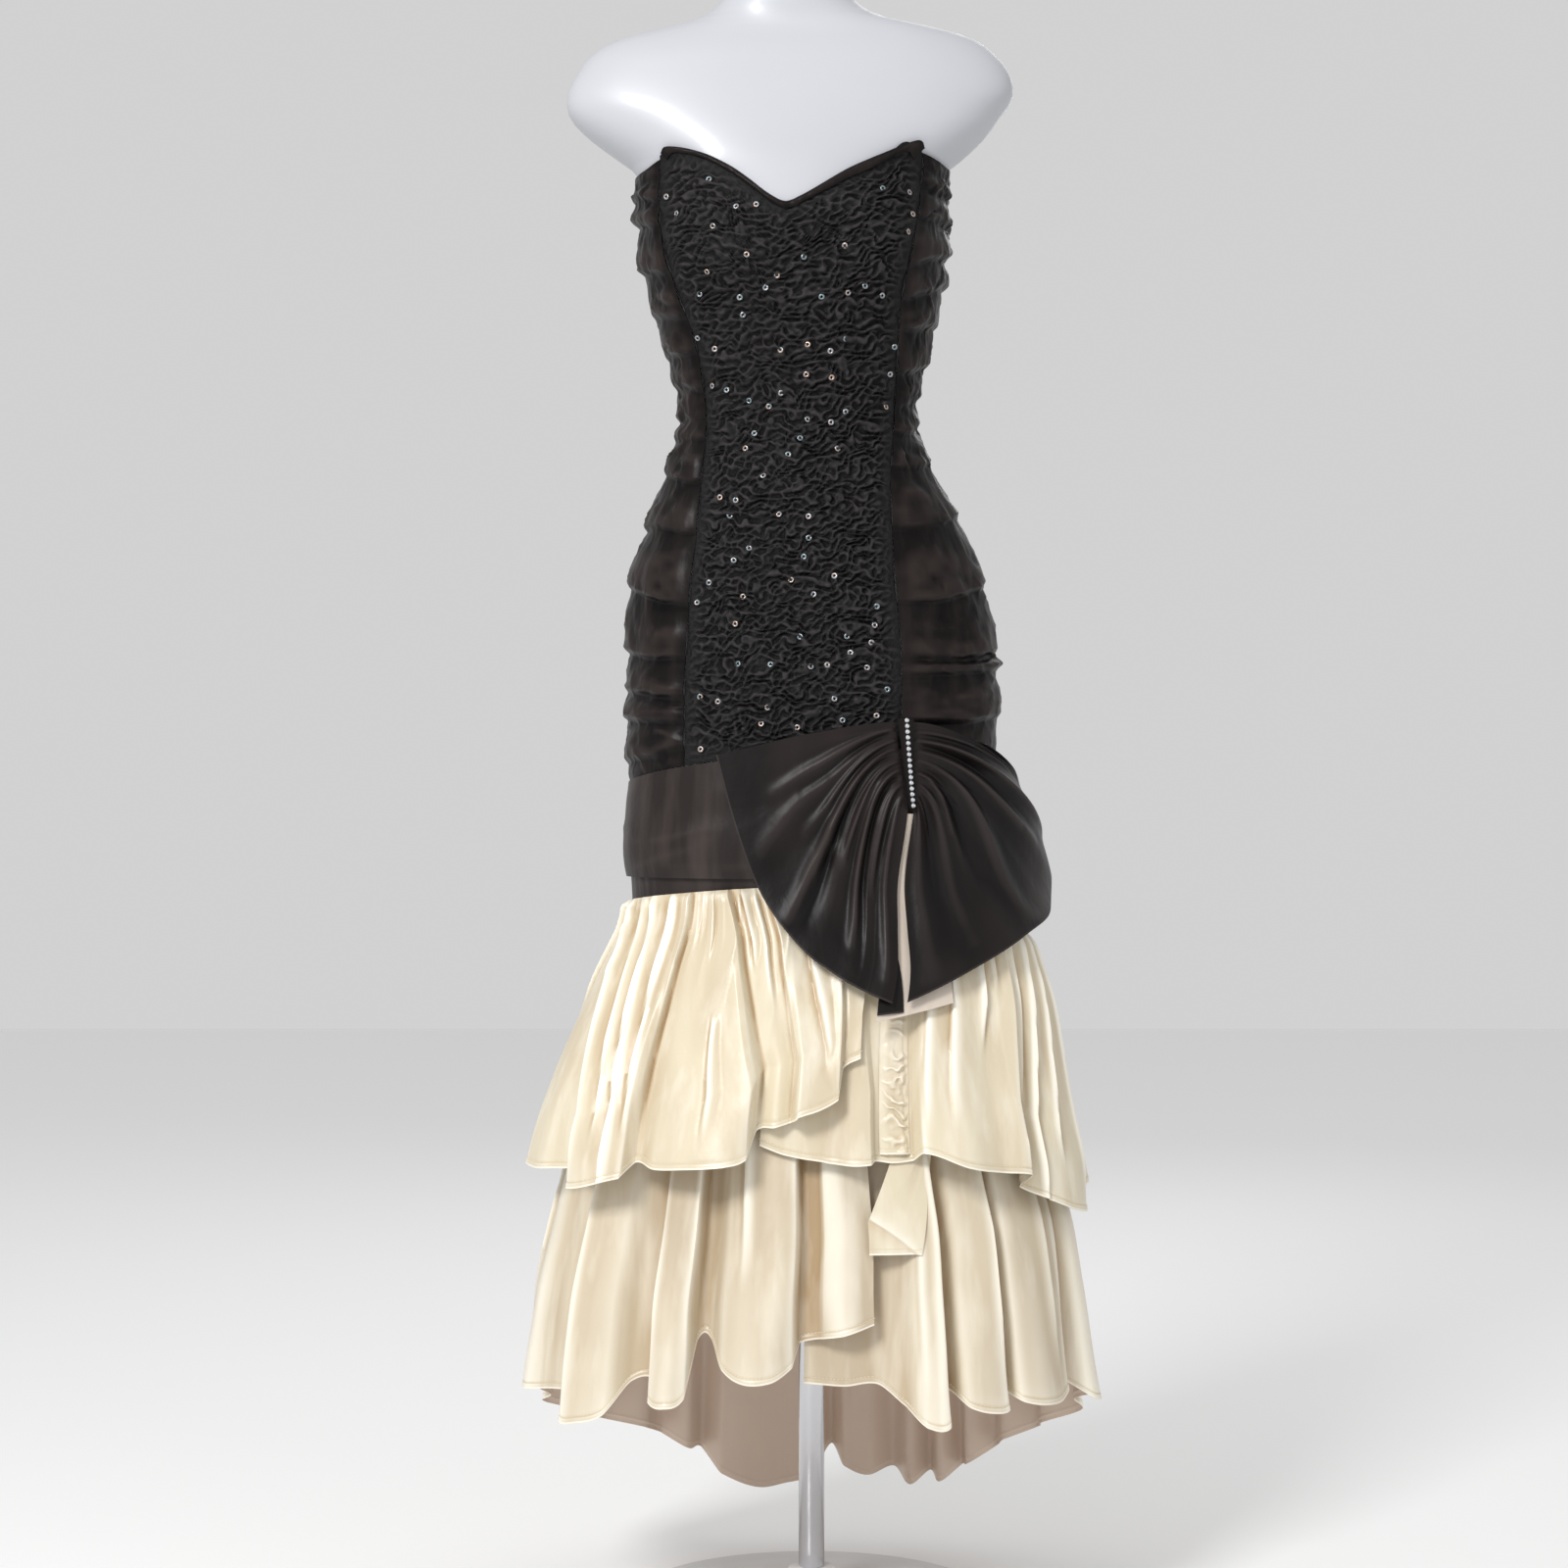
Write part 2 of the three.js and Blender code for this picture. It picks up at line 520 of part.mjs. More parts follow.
function formGeometry() {
  const heights = [...FORM_RINGS, ...FIGURE.map((row) => row.z).filter((z) => z > 1330)];
  const rings = heights.map((z) => {
    const swell = Math.exp(-(((z - GRIP.z) / GRIP.tall) ** 2));
    const out = (GRIP.inset + GRIP.out) * swell - GRIP.inset;
    return Array.from({ length: FORM_SIDES }, (_, i) => {
      const angle = THREE.MathUtils.euclideanModulo((360 * i) / FORM_SIDES + 180, 360) - 180;
      return figurePoint(angle, z, out - FORM_CUP_INSET * cup(angle, z));
    });
  });
  const positions = rings.flat().flatMap((p) => [p.x, p.y, p.z]);
  const faces = [];
  for (let r = 0; r < rings.length - 1; r++) {
    for (let i = 0; i < FORM_SIDES; i++) {
      const next = (i + 1) % FORM_SIDES;
      const [a, b] = [r * FORM_SIDES + i, r * FORM_SIDES + next];
      faces.push(a, b, a + FORM_SIDES, b, b + FORM_SIDES, a + FORM_SIDES);
    }
  }
  const top = FIGURE[FIGURE.length - 1];
  const bottomCentre = rings.length * FORM_SIDES;
  positions.push(0, 0, FORM_RINGS[0], top.cx, 0, top.z);
  for (let i = 0; i < FORM_SIDES; i++) {
    const next = (i + 1) % FORM_SIDES;
    const last = (rings.length - 1) * FORM_SIDES;
    faces.push(bottomCentre, next, i, bottomCentre + 1, last + i, last + next);
  }
  const geometry = new THREE.BufferGeometry();
  geometry.setAttribute("position", new THREE.Float32BufferAttribute(positions, 3));
  geometry.setIndex(faces);
  geometry.computeVertexNormals();
  return geometry;
}

// Crinkled front panel: puckers raised over a plain inside
const PANEL = { across: 10, down: 34, inset: 0.25, relief: 2.6 }; // the inset is in degrees

function pucker(across, down) {
  const wander = Math.sin(across * 17 + down * 23) + Math.sin(across * 29 - down * 41 + 1.3);
  return PANEL.relief * (0.5 + 0.25 * wander);
}

function frontPanel() {
  const place = (u, v, out) => {
    const [topLeft, topRight] = [seamAngle("left", 1345), seamAngle("right", 1348)];
    const high = read(NECKLINE, topLeft + (topRight - topLeft) * u, "z", "angle");
    const [lowLeft, lowRight] = [seamAngle("left", 785), seamAngle("right", 800)];
    const low = read(BAND_TOP, lowLeft + (lowRight - lowLeft) * u, "z", "angle") + 2 * SEAM_GAP;
    const z = high + (low - high) * v;
    const [left, right] = [seamAngle("left", z) + PANEL.inset, seamAngle("right", z) - PANEL.inset];
    const angle = left + (right - left) * u;
    return figurePoint(angle, z, out);
  };
  const edge = (u) => Math.min(1, 6 * u, 6 * (1 - u));
  const outer = grid(PANEL.across, PANEL.down, (u, v) =>
    place(u, v, FORM_CLEARANCE + SATIN + pucker(u, v) * edge(u) * edge(v)),
  );
  return wall(outer, grid(PANEL.across, PANEL.down, (u, v) => place(u, v, FORM_CLEARANCE)));
}

// Neckline binding: a narrow strip folded along the top edge of the front panel
const BINDING = { from: -48, to: 47, steps: 26, leftWidth: 4, rightWidth: 9, lift: 1.6 };

function necklineBinding() {
  const { from, to, steps, leftWidth, rightWidth, lift } = BINDING;
  const place = (u, v, out) => {
    const angle = from + (to - from) * u;
    const width = leftWidth + (rightWidth - leftWidth) * smooth(u * 2 - 0.8);
    return figurePoint(angle, read(NECKLINE, angle, "z", "angle") + 2 - (width + 2) * v, out);
  };
  const base = FORM_CLEARANCE + SATIN + 1.1;
  const outer = grid(steps, 2, (u, v) => place(u, v, base + lift + 1.2 * v));
  return wall(outer, grid(steps, 2, (u, v) => place(u, v, base + 1.4 * v)));
}

// One ruched panel, from an edge to another; each tuck is a crest over a valley
const TUCK_LIFT = 4; // a tuck's crest lies this far above its lower edge
const TUCK_UNDER = 4;
const TUCK_FLOOR = 1; // how far a valley stands out
const LEAST_ROW = 1.5;

function ruchedRows(tucks, angle, topZ, bottomZ) {
  const share = Math.min(1, Math.abs(angle) / SIDE_SEAM);
  const behind = Math.max(0, (Math.abs(angle) - SIDE_SEAM) / (180 - SIDE_SEAM));
  const rows = [
    { z: topZ, out: 2 },
    { z: topZ - 13, out: 2 },
  ];
  for (const tuck of tucks) {
    const near = THREE.MathUtils.lerp(tuck.seam, tuck.side, smooth(share * 1.6 - 0.6));
    const z = THREE.MathUtils.lerp(near, tuck.back, smooth(behind));
    rows.push({ z: z + TUCK_LIFT, out: tuck.out });
    rows.push({ z: z - TUCK_UNDER, out: TUCK_FLOOR });
  }
  rows.push({ z: bottomZ, out: 2 });
  const last = rows.length - 1;
  for (let i = 1; i < last; i++) rows[i].z = Math.min(rows[i].z, rows[i - 1].z - LEAST_ROW);
  for (let i = last - 1; i > 0; i--) rows[i].z = Math.max(rows[i].z, rows[i + 1].z + LEAST_ROW);
  return rows;
}

function ruchedPanel(tucks, columns, angleAt) {
  const place = (u, plain) => {
    const top = read(NECKLINE, angleAt(u, 1335), "z", "angle") - SEAM_GAP;
    const bottom = read(BAND_TOP, angleAt(u, 790), "z", "angle") + SEAM_GAP;
    const fade = Math.min(1, 0.35 + 5 * u, 0.35 + 5 * (1 - u));
    return ruchedRows(tucks, angleAt(u, 1050), top, bottom).map(({ z, out }) =>
      figurePoint(angleAt(u, z), z, FORM_CLEARANCE + (plain ? 0 : SATIN + out * fade)),
    );
  };
  const steps = Array.from({ length: columns + 1 }, (_, i) => i / columns);
  return wall(
    steps.map((u) => place(u, false)),
    steps.map((u) => place(u, true)),
  );
}

const SEAM_ANGLE = 0.25; // half a seam's gap at the sides and back, in degrees
const sideFrontLeft = () =>
  ruchedPanel(RUCHING_LEFT, 5, (u, z) =>
    THREE.MathUtils.lerp(-SIDE_SEAM + SEAM_ANGLE, seamAngle("left", z) - SEAM_ANGLE, u),
  );
const sideFrontRight = () =>
  ruchedPanel(RUCHING_RIGHT, 5, (u, z) =>
    THREE.MathUtils.lerp(seamAngle("right", z) + SEAM_ANGLE, SIDE_SEAM - SEAM_ANGLE, u),
  );
const backLeft = () =>
  ruchedPanel(RUCHING_LEFT, 6, (u) =>
    THREE.MathUtils.lerp(-180 + SEAM_ANGLE, -SIDE_SEAM - SEAM_ANGLE, u),
  );
const backRight = () =>
  ruchedPanel(RUCHING_RIGHT, 6, (u) =>
    THREE.MathUtils.lerp(SIDE_SEAM + SEAM_ANGLE, 180 - SEAM_ANGLE, u),
  );

// Hip band, which bulges over the narrow binding under it
const HIP_SIDES = 40;
const BAND_BULGE = [
  { v: 0, out: 0 },
  { v: 0.3, out: 3 },
  { v: 0.75, out: 6 },
  { v: 1, out: 4.2 },
];

// The strip under the band, turned out at its top to meet the inside of the band
const HIP_STRIP = [
  { z: 691, out: 3.8 },
  { z: 682.5, out: 0.9 },
];
const BAND_INSIDE = FORM_CLEARANCE + SATIN + SEAM_GAP;

function bandOut(angle, z) {
  const high = read(BAND_TOP, angle, "z", "angle") - SEAM_GAP;
  return BAND_INSIDE + SATIN + read(BAND_BULGE, (high - z) / (high - BAND_BOTTOM), "out", "v");
}

function hipRing(column) {
  return Array.from({ length: HIP_SIDES }, (_, i) => column((360 * i) / HIP_SIDES - 180));
}

function hipBand() {
  const face = (angle, plain) =>
    BAND_BULGE.map(({ v, out }) => {
      const high = read(BAND_TOP, angle, "z", "angle") - SEAM_GAP;
      const stands = plain ? Math.max(0, out - 1) : SATIN + out;
      return figurePoint(angle, high + (BAND_BOTTOM - high) * v, BAND_INSIDE + stands);
    });
  return wall(
    hipRing((angle) => face(angle, false)),
    hipRing((angle) => face(angle, true)),
    true,
  );
}

function hipStrip() {
  const face = (angle, out) => {
    const low = { z: read(SKIRT_SEAM, angle, "z", "angle"), out: 0 };
    return [...HIP_STRIP, low].map((row) => figurePoint(angle, row.z, FORM_CLEARANCE + row.out + out));
  };
  return wall(
    hipRing((angle) => face(angle, SATIN)),
    hipRing((angle) => face(angle, 0)),
    true,
  );
}

// A skirt tier's half: folds grow from the gathered seam to the hem
const SEAM_LEVEL = 664;
const TIER_ROWS = 6;
const ROW_SHARE = 1.15; // rows are closer together near the seam
const FOLD_GROWTH = 1.35;

function tierPoint(sections, folds, s, t) {
  const i = Math.min(Math.floor(s), folds.length - 2);
  const [a, b, f] = [folds[i], folds[i + 1], s - i];
  const mix = (column, share) => a[column] + (b[column] - a[column]) * share;
  const angle = mix("top", f) + (mix("hem", f) - mix("top", f)) * Math.min(1, 1.35 * t);
  const seamZ = read(SKIRT_SEAM, angle, "z", "angle") - SEAM_GAP;
  const z = seamZ + (mix("z", smooth(f)) - seamZ) * t;
  const section = sectionAt(sections, z + (SEAM_LEVEL - seamZ) * (1 - t));
  const out = mix("out", smooth(f)) * t ** FOLD_GROWTH;
  return ovalPoint(section, angle, z, out - LAYER_STEP * mix("under", smooth(f)));
}

function tier(sections, folds) {
  const across = 2 * (folds.length - 1);
  const outer = grid(across, TIER_ROWS, (u, v) =>
    tierPoint(sections, folds, u * (folds.length - 1), v ** ROW_SHARE),
  );
  return wall(outer, movedIn(outer, SATIN));
}

// Shirred strip down the front opening, and the turned tail that hangs under it
const SHIRRING = {
  from: 13.2,
  to: 20,
  top: 592,
  bottom: 438,
  puckers: 9,
  out: 3.2,
  seam: 676,
  hem: 431,
};
const STRIP_WALL = 1;
const STRIP_LIFT = -0.6;

function shirredStrip() {
  const { from, to, top, bottom, puckers, out, seam, hem } = SHIRRING;
  const outer = grid(4, puckers * 2, (u, v) => {
    const [angle, z] = [from + (to - from) * u, top + (bottom - top) * v];
    const t = (seam - z) / (seam - hem);
    const edge = Math.min(1, 4 * u + 0.3, 4 * (1 - u) + 0.3);
    const wave = out * (0.6 + 0.4 * Math.cos(2 * Math.PI * (puckers * v + 0.6 * u)));
    const bed = STRIP_LIFT - 15 * t ** FOLD_GROWTH;
    const section = sectionAt(UPPER_TIER, z + (SEAM_LEVEL - seam) * (1 - t));
    return ovalPoint(section, angle, z, bed + wave * edge);
  });
  return wall(outer, movedIn(outer, STRIP_WALL));
}

const TAIL = { left: 17.3, right: 25.9, lean: -7.7, rightLean: -5.6, leant: 0.69, top: 446, bottom: 350, fold: 2 };
const TAIL_OUT = [
  { v: 0, out: 13 },
  { v: 0.2, out: 11 },
  { v: 1, out: 10.5 },
];

function cascadeTail() {
  const outer = grid(5, 6, (u, v) => {
    const leaning = TAIL.lean * Math.min(1, v / TAIL.leant) * (1 - u) + TAIL.rightLean * v * u;
    const angle = THREE.MathUtils.lerp(TAIL.left, TAIL.right, u) + leaning;
    const z = TAIL.top + (TAIL.bottom - TAIL.top) * v;
    const folded = TAIL.fold * smooth(4 * (TAIL.leant + 0.36 * u - v));
    return ovalPoint(sectionAt(LOWER_TIER, z), angle, z, read(TAIL_OUT, v, "out", "v") + folded * v);
  });
  return wall(outer, movedIn(outer, SATIN));
}

const knotHalf = (v) => KNOT.half + (KNOT.halfLow - KNOT.half) * v;

// A bow wing: threads of cloth leave the knot level and fan out to the outline
function wingPoint(outline, side, at, along) {
  const place = at * (outline.length - 1);
  const rows = outline.map((row, i) => ({ ...row, i }));
  const [endAngle, endZ, endOut] = ["angle", "z", "out"].map((c) => read(rows, place, c, "i"));
  const start = {
    angle: KNOT.angle + side * knotHalf(at) + KNOT.slant * at,
    z: KNOT.top + (KNOT.bottom - KNOT.top) * at,
  };
  const reach = Math.hypot((endAngle - start.angle) * DEGREE, endZ - start.z);
  const ends = { x: (endAngle - start.angle) / reach, z: (endZ - start.z) / reach };
  const bezier = (a, b, c, d) => {
    const w = 1 - along;
    return w ** 3 * a + 3 * w * w * along * b + 3 * w * along ** 2 * c + along ** 3 * d;
  };
  const bow = (side < 0 ? SLIT_BOW.left : SLIT_BOW.right) * at ** 3;
  const level = (side * 0.3 * reach * (1 - at ** 3)) / DEGREE + bow;
  const angle = bezier(start.angle, start.angle + level, endAngle - ends.x * 0.35 * reach, endAngle);
  const z = bezier(start.z, start.z, endZ - ends.z * 0.35 * reach, endZ);
  const pleat = read(WING_PLEATS, at, "rise", "at") * Math.min(1, 3 * along) * (1.15 - 0.85 * along);
  const out = WING_START + endOut * along ** 1.6 + pleat;
  return ovalPoint(sectionAt(BOW_BED, z), angle, z, out);
}

function wing(outline, side) {
  const across = WING_PLEATS.length - 1;
  const outer = grid(across, WING_STEPS, (u, v) => {
    const [at, along] = side > 0 ? [1 - u, v] : [u, v];
    return wingPoint(outline, side, WING_PLEATS[Math.round(at * across)].at, along);
  });
  return wall(outer, movedIn(outer, BOW_WALL));
}

const KNOT_ROWS = 6;
const KNOT_SEAT = { above: 11.4, gap: 0.5, bed: 15.6 }; // distances from the figure

function knotStrip() {
  const place = (u, v) => ({
    angle: KNOT.angle + KNOT.slant * v + (u - 0.5) * 2 * (knotHalf(v) - 0.25),
    z: KNOT.top + 3 + (KNOT.bottom - KNOT.top - 4) * v,
  });
  const outer = grid(2, KNOT_ROWS, (u, v) => {
    const { angle, z } = place(u, v);
    return ovalPoint(sectionAt(BOW_BED, z), angle, z, 8 + 1.5 * Math.sin(Math.PI * u));
  });
  const inner = grid(2, KNOT_ROWS, (u, v) => {
    const { angle, z } = place(u, v);
    const high = read(BAND_TOP, angle, "z", "angle");
    const seat = z > high - 1 ? KNOT_SEAT.above : bandOut(angle, z) + KNOT_SEAT.gap;
    return ovalPoint(sectionAt(BOW_BED, z), angle, z, seat - KNOT_SEAT.bed);
  });
  return wall(outer, inner);
}

// Pale cloth behind the slit between the wings
const UNDERLAY = { top: 741, bottom: 556, left: 20, right: 31, leftLow: 10.8, rightLow: 29.5, wall: 1 };

function bowUnderlay() {
  const { top, bottom, left, right, leftLow, rightLow, wall: thick } = UNDERLAY;
  const outer = grid(4, 6, (u, v) => {
    const [from, to] = [left + (leftLow - left) * v, right + (rightLow - right) * v];
    const z = top + (bottom + 16 * u - top) * v;
    return ovalPoint(sectionAt(BOW_BED, z), from + (to - from) * u, z, 0.1);
  });
  return wall(outer, movedIn(outer, thick));
}

// Centre back zip, closed: its two lips meet in a ridge
const ZIP = { halfWidth: 1.9, top: 1294, bottom: 769, wall: 1.1, out: 3.6, ridge: 0.6, rows: 16 };

function backZip() {
  const { halfWidth, top, bottom, wall: thick, out, ridge, rows } = ZIP;
  const outer = grid(2, rows, (u, v) => {
    const stands = FORM_CLEARANCE + SATIN + out + thick + ridge * Math.sin(Math.PI * u);
    return figurePoint(180 + (u - 0.5) * 2 * halfWidth, top + (bottom - top) * v, stands);
  });
  return wall(outer, movedIn(outer, thick));
}

// Stand
function standPole() {
  const [low, high] = [HUB_HEIGHT + SEAM_GAP, FORM_RINGS[0] - SEAM_GAP];
  const geometry = new THREE.CylinderGeometry(POLE_RADIUS, POLE_RADIUS, high - low, POLE_SIDES);
  return geometry.rotateX(Math.PI / 2).translate(0, 0, (low + high) / 2);
}

function standBase() {
  const profile = [
    [0, 0],
    [BASE_RADIUS - 3, 0],
    [BASE_RADIUS, 3],
    [BASE_RADIUS - 4, BASE_THICKNESS],
    [HUB_RADIUS + 5, BASE_THICKNESS + 2],
    [HUB_RADIUS, BASE_THICKNESS + 6],
    [HUB_RADIUS - 3, HUB_HEIGHT],
    [0, HUB_HEIGHT],
  ].map(([r, z]) => new THREE.Vector2(r, z));
  return new THREE.LatheGeometry(profile, BASE_SIDES).rotateX(Math.PI / 2);
}

// The whole part
const gown = new THREE.Group();
gown.add(
  mesh("stand_base", standBase(), WHITE_ENAMEL),
  mesh("stand_pole", standPole(), STEEL),
  mesh("form_torso", formGeometry(), WHITE_PLASTIC),
  mesh("front_panel", frontPanel(), BLACK_CRINKLE),
  mesh("neckline_binding", necklineBinding(), BLACK_SATIN),
  mesh("side_front_left", sideFrontLeft(), BLACK_SATIN),
  mesh("side_front_right", sideFrontRight(), BLACK_SATIN),
  mesh("back_left", backLeft(), BLACK_SATIN),
  mesh("back_right", backRight(), BLACK_SATIN),
  mesh("back_zip", backZip(), BLACK_SATIN),
  mesh("hip_band", hipBand(), BLACK_SATIN),
  mesh("hip_strip", hipStrip(), BLACK_SATIN),
  mesh("upper_tier_left", tier(UPPER_TIER, UPPER_LEFT_FOLDS), CREAM_SATIN),
  mesh("upper_tier_right", tier(UPPER_TIER, UPPER_RIGHT_FOLDS), CREAM_SATIN),
  mesh("lower_tier_left", tier(LOWER_TIER, LOWER_LEFT_FOLDS), CREAM_SATIN),
  mesh("lower_tier_right", tier(LOWER_TIER, LOWER_RIGHT_FOLDS), CREAM_SATIN),
  mesh("shirred_strip", shirredStrip(), CREAM_SATIN),
  mesh("cascade_tail", cascadeTail(), CREAM_SATIN),
  mesh("bow_wing_left", wing(LEFT_WING, -1), BLACK_SATIN),
  mesh("bow_wing_right", wing(RIGHT_WING, 1), BLACK_SATIN),
  mesh("bow_knot", knotStrip(), BLACK_SATIN),
  mesh("bow_underlay", bowUnderlay(), PALE_LINEN),
);

export default gown;
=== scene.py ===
"""Looks of a strapless evening gown on a shop form.

The cloth surfaces follow the same sizes as the solids: oval cross-sections by height, a row for each
fold, tuck and pleat. Sizes in the tables are millimetres and degrees; angle 0 is the front and 90
the viewer's right.
"""
import logging
import math
from dataclasses import dataclass, field
from enum import Enum
from functools import partial

import bmesh
import bpy
import numpy as np
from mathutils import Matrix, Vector


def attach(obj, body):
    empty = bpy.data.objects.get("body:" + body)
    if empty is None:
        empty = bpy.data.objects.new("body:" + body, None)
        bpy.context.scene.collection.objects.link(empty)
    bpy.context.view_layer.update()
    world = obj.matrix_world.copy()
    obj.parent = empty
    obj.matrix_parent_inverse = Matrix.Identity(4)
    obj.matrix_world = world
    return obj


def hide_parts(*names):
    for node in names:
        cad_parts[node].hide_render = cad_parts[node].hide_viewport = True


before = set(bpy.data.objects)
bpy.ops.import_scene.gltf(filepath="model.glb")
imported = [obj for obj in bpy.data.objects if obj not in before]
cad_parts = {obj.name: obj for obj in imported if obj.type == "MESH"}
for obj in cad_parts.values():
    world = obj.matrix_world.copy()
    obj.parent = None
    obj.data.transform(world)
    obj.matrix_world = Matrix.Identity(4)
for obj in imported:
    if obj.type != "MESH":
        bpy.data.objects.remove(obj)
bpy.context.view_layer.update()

LOG = logging.getLogger("gown")
MM = 0.001
ARC = 3.7  # millimetres of skirt to a degree
SHARP_ANGLE = 62.0  # degrees between faces from which an edge is shaded sharp
CAP_HOLE = 0.02  # share of a cap's radius that is left to be filled by one face
BODY = "root"
ROUNDNESS = 2.2
REVERSE_SHIFT = -50.0  # the cloth place of a sheet's reverse side is moved this far

Array = np.ndarray
Pair = tuple[float, float]
Triple = tuple[float, float, float]
Relief = tuple[float, float, float, float, float]  # scale, detail, stretch upward, strength and depth
Piece = bpy.types.Object
Socket = bpy.types.NodeSocket
Settings = dict[str, object] | None


class Table:
    """Rows of numbers under named columns, read smoothly along the first column."""

    def __init__(self, columns: str, *rows: tuple[float, ...]) -> None:
        """Keeps the rows.

        Args:
            columns: the names of the columns, the first being the key.
            rows: one tuple for each row, in rising order of the key.
        """
        self.names = columns.split()
        self.values = np.array(rows, dtype=float).T

    def column(self, name: str) -> Array:
        """All values of a column."""
        return self.values[self.names.index(name)]

    def read(self, name: str, place: Array | float) -> Array:
        """Reads a column between its rows.

        Args:
            name: the column.
            place: where to read, in the key's unit.

        Returns:
            The values there, on a smooth curve through the rows.
        """
        key, value = self.values[0], self.column(name)
        last = len(key) - 1
        at = np.asarray(place, dtype=float)
        i = np.searchsorted(key[1:last], at, side="left")
        before, after = np.maximum(i - 1, 0), np.minimum(i + 2, last)
        span = key[i + 1] - key[i]
        f = np.clip((at - key[i]) / span, 0, 1)
        start = (value[i + 1] - value[before]) / (key[i + 1] - key[before]) * span
        end = (value[after] - value[i]) / (key[after] - key[i]) * span
        return (
            (2 * f**3 - 3 * f**2 + 1) * value[i]
            + (f**3 - 2 * f**2 + f) * start
            + (3 * f**2 - 2 * f**3) * value[i + 1]
            + (f**3 - f**2) * end
        )


class Folds(Table):
    """A table whose rows are numbered from 0, the number being the key."""

    def __init__(self, columns: str, *rows: tuple[float, ...]) -> None:
        """Numbers the rows.

        Args:
            columns: the names of the columns, without the number.
            rows: one tuple for each row.
        """
        super().__init__("row " + columns, *((float(i), *row) for i, row in enumerate(rows)))
        self.last = len(rows) - 1


FIGURE = Table(
    "z cx half front back power",
    (640, 0, 164, 104, 114, 2.2), (664, 0, 164, 104, 114, 2.2), (690, 0, 164.5, 104.5, 114.5, 2.2),
    (713, 0, 166, 105, 116, 2.2), (760, 0, 166, 105, 118, 2.2), (805, 0, 168, 105, 121, 2.2),
    (860, 1, 169, 105, 124, 2.2), (900, 0, 166, 103, 124, 2.2), (950, -4, 161, 99, 120, 2.2),
    (1000, -6, 146, 93, 110, 2.2), (1044, -10, 127, 87, 97, 2.2), (1080, -12, 113, 82, 86, 2.2),
    (1113, -13, 106, 79, 78, 2.2), (1150, -13, 112, 85, 80, 2.2), (1200, -14, 126, 96, 86, 2.2),
    (1250, -16, 137, 104, 91, 2.2), (1300, -18, 141, 102, 92, 2.2), (1340, -19, 146, 92, 90, 2.2),
    (1358, -20.5, 167, 85, 89, 2.4), (1375, -23, 187, 79, 88, 2.6), (1394, -25, 203, 73, 86, 2.8),
    (1412, -20, 210, 68, 83, 2.9), (1433, -17, 203, 62, 78, 2.9), (1447, -17, 193, 58, 73, 2.8),
    (1460, -15, 177, 53, 67, 2.6), (1468, -12, 157, 50, 62, 2.4), (1475, -11, 130, 49, 58, 2.2),
    (1482, -16, 99, 49, 55, 2), (1492, -20, 75, 50, 52, 2), (1506, -22, 62, 51, 50, 2),
    (1525, -22, 55, 52, 50, 2), (1556, -22, 53, 53, 51, 2), (1562, -22, 48, 48, 46, 2),
)
NECKLINE = Table(
    "angle z",
    (-180, 1296), (-140, 1304), (-110, 1318), (-90, 1331), (-66, 1336), (-55, 1342), (-44, 1350),
    (-34, 1347), (-22, 1331), (-14, 1316), (-7, 1301), (-2, 1294), (2, 1299), (18, 1325),
    (31, 1342), (40, 1356), (50, 1350), (69, 1342), (90, 1338), (110, 1322), (140, 1304),
    (180, 1296),
)
FRONT_SEAMS = Table(
    "z left right",
    (760, -116, 79), (807, -115, 79), (862, -116, 79), (912, -111, 79), (1000, -98, 78),
    (1050, -89, 81), (1090, -83, 85), (1121, -83, 87), (1171, -91, 90), (1217, -105, 94),
    (1262, -116, 103), (1295, -119, 112), (1340, -119, 119),
)
BAND_TOP = Table(
    "angle z",
    (-180, 764), (-90, 770), (-45, 783), (-20, 791), (20, 799), (60, 800), (90, 792), (180, 764),
)
SKIRT_SEAM = Table(
    "angle z",
    (-180, 652), (-90, 659), (-50, 667), (-15, 674), (20, 677), (60, 672), (90, 663), (180, 652),
)
RUCHING_LEFT = Table(
    "seam side back out",
    (1303, 1316, 1280, 6), (1282, 1295, 1262, 7), (1238, 1247, 1232, 6), (1200, 1206, 1200, 5),
    (1168, 1168, 1170, 5), (1132, 1142, 1138, 5), (1108, 1112, 1112, 4), (1086, 1094, 1090, 5),
    (1044, 1060, 1052, 6), (999, 1010, 1010, 6), (935, 958, 962, 7), (882, 893, 905, 7),
    (848, 856, 862, 6), (826, 828, 832, 6), (800, 790, 798, 6),
)
RUCHING_RIGHT = Table(
    "seam side back out",
    (1318, 1312, 1280, 5), (1290, 1284, 1262, 6), (1246, 1262, 1232, 7), (1216, 1234, 1200, 6),
    (1186, 1196, 1170, 5), (1148, 1160, 1138, 6), (1118, 1130, 1112, 4), (1092, 1104, 1090, 5),
    (1058, 1070, 1052, 5), (1004, 1018, 1010, 5), (932, 956, 962, 7), (884, 893, 905, 6),
    (868, 878, 862, 6), (826, 832, 832, 6),
)
UPPER_TIER = Table(
    "z cx half front back",
    (370, -2, 257, 186, 216), (418, -3, 252, 180, 209), (455, -3, 245, 172, 200),
    (492, -1, 236, 163, 190), (529, 2, 226, 153, 178), (566, 6, 215, 143, 164),
    (602, 8, 202, 131, 149), (621, 9, 194, 124, 140), (640, 5, 181, 117, 130),
    (664, 0, 169.2, 109.2, 119.2),
)
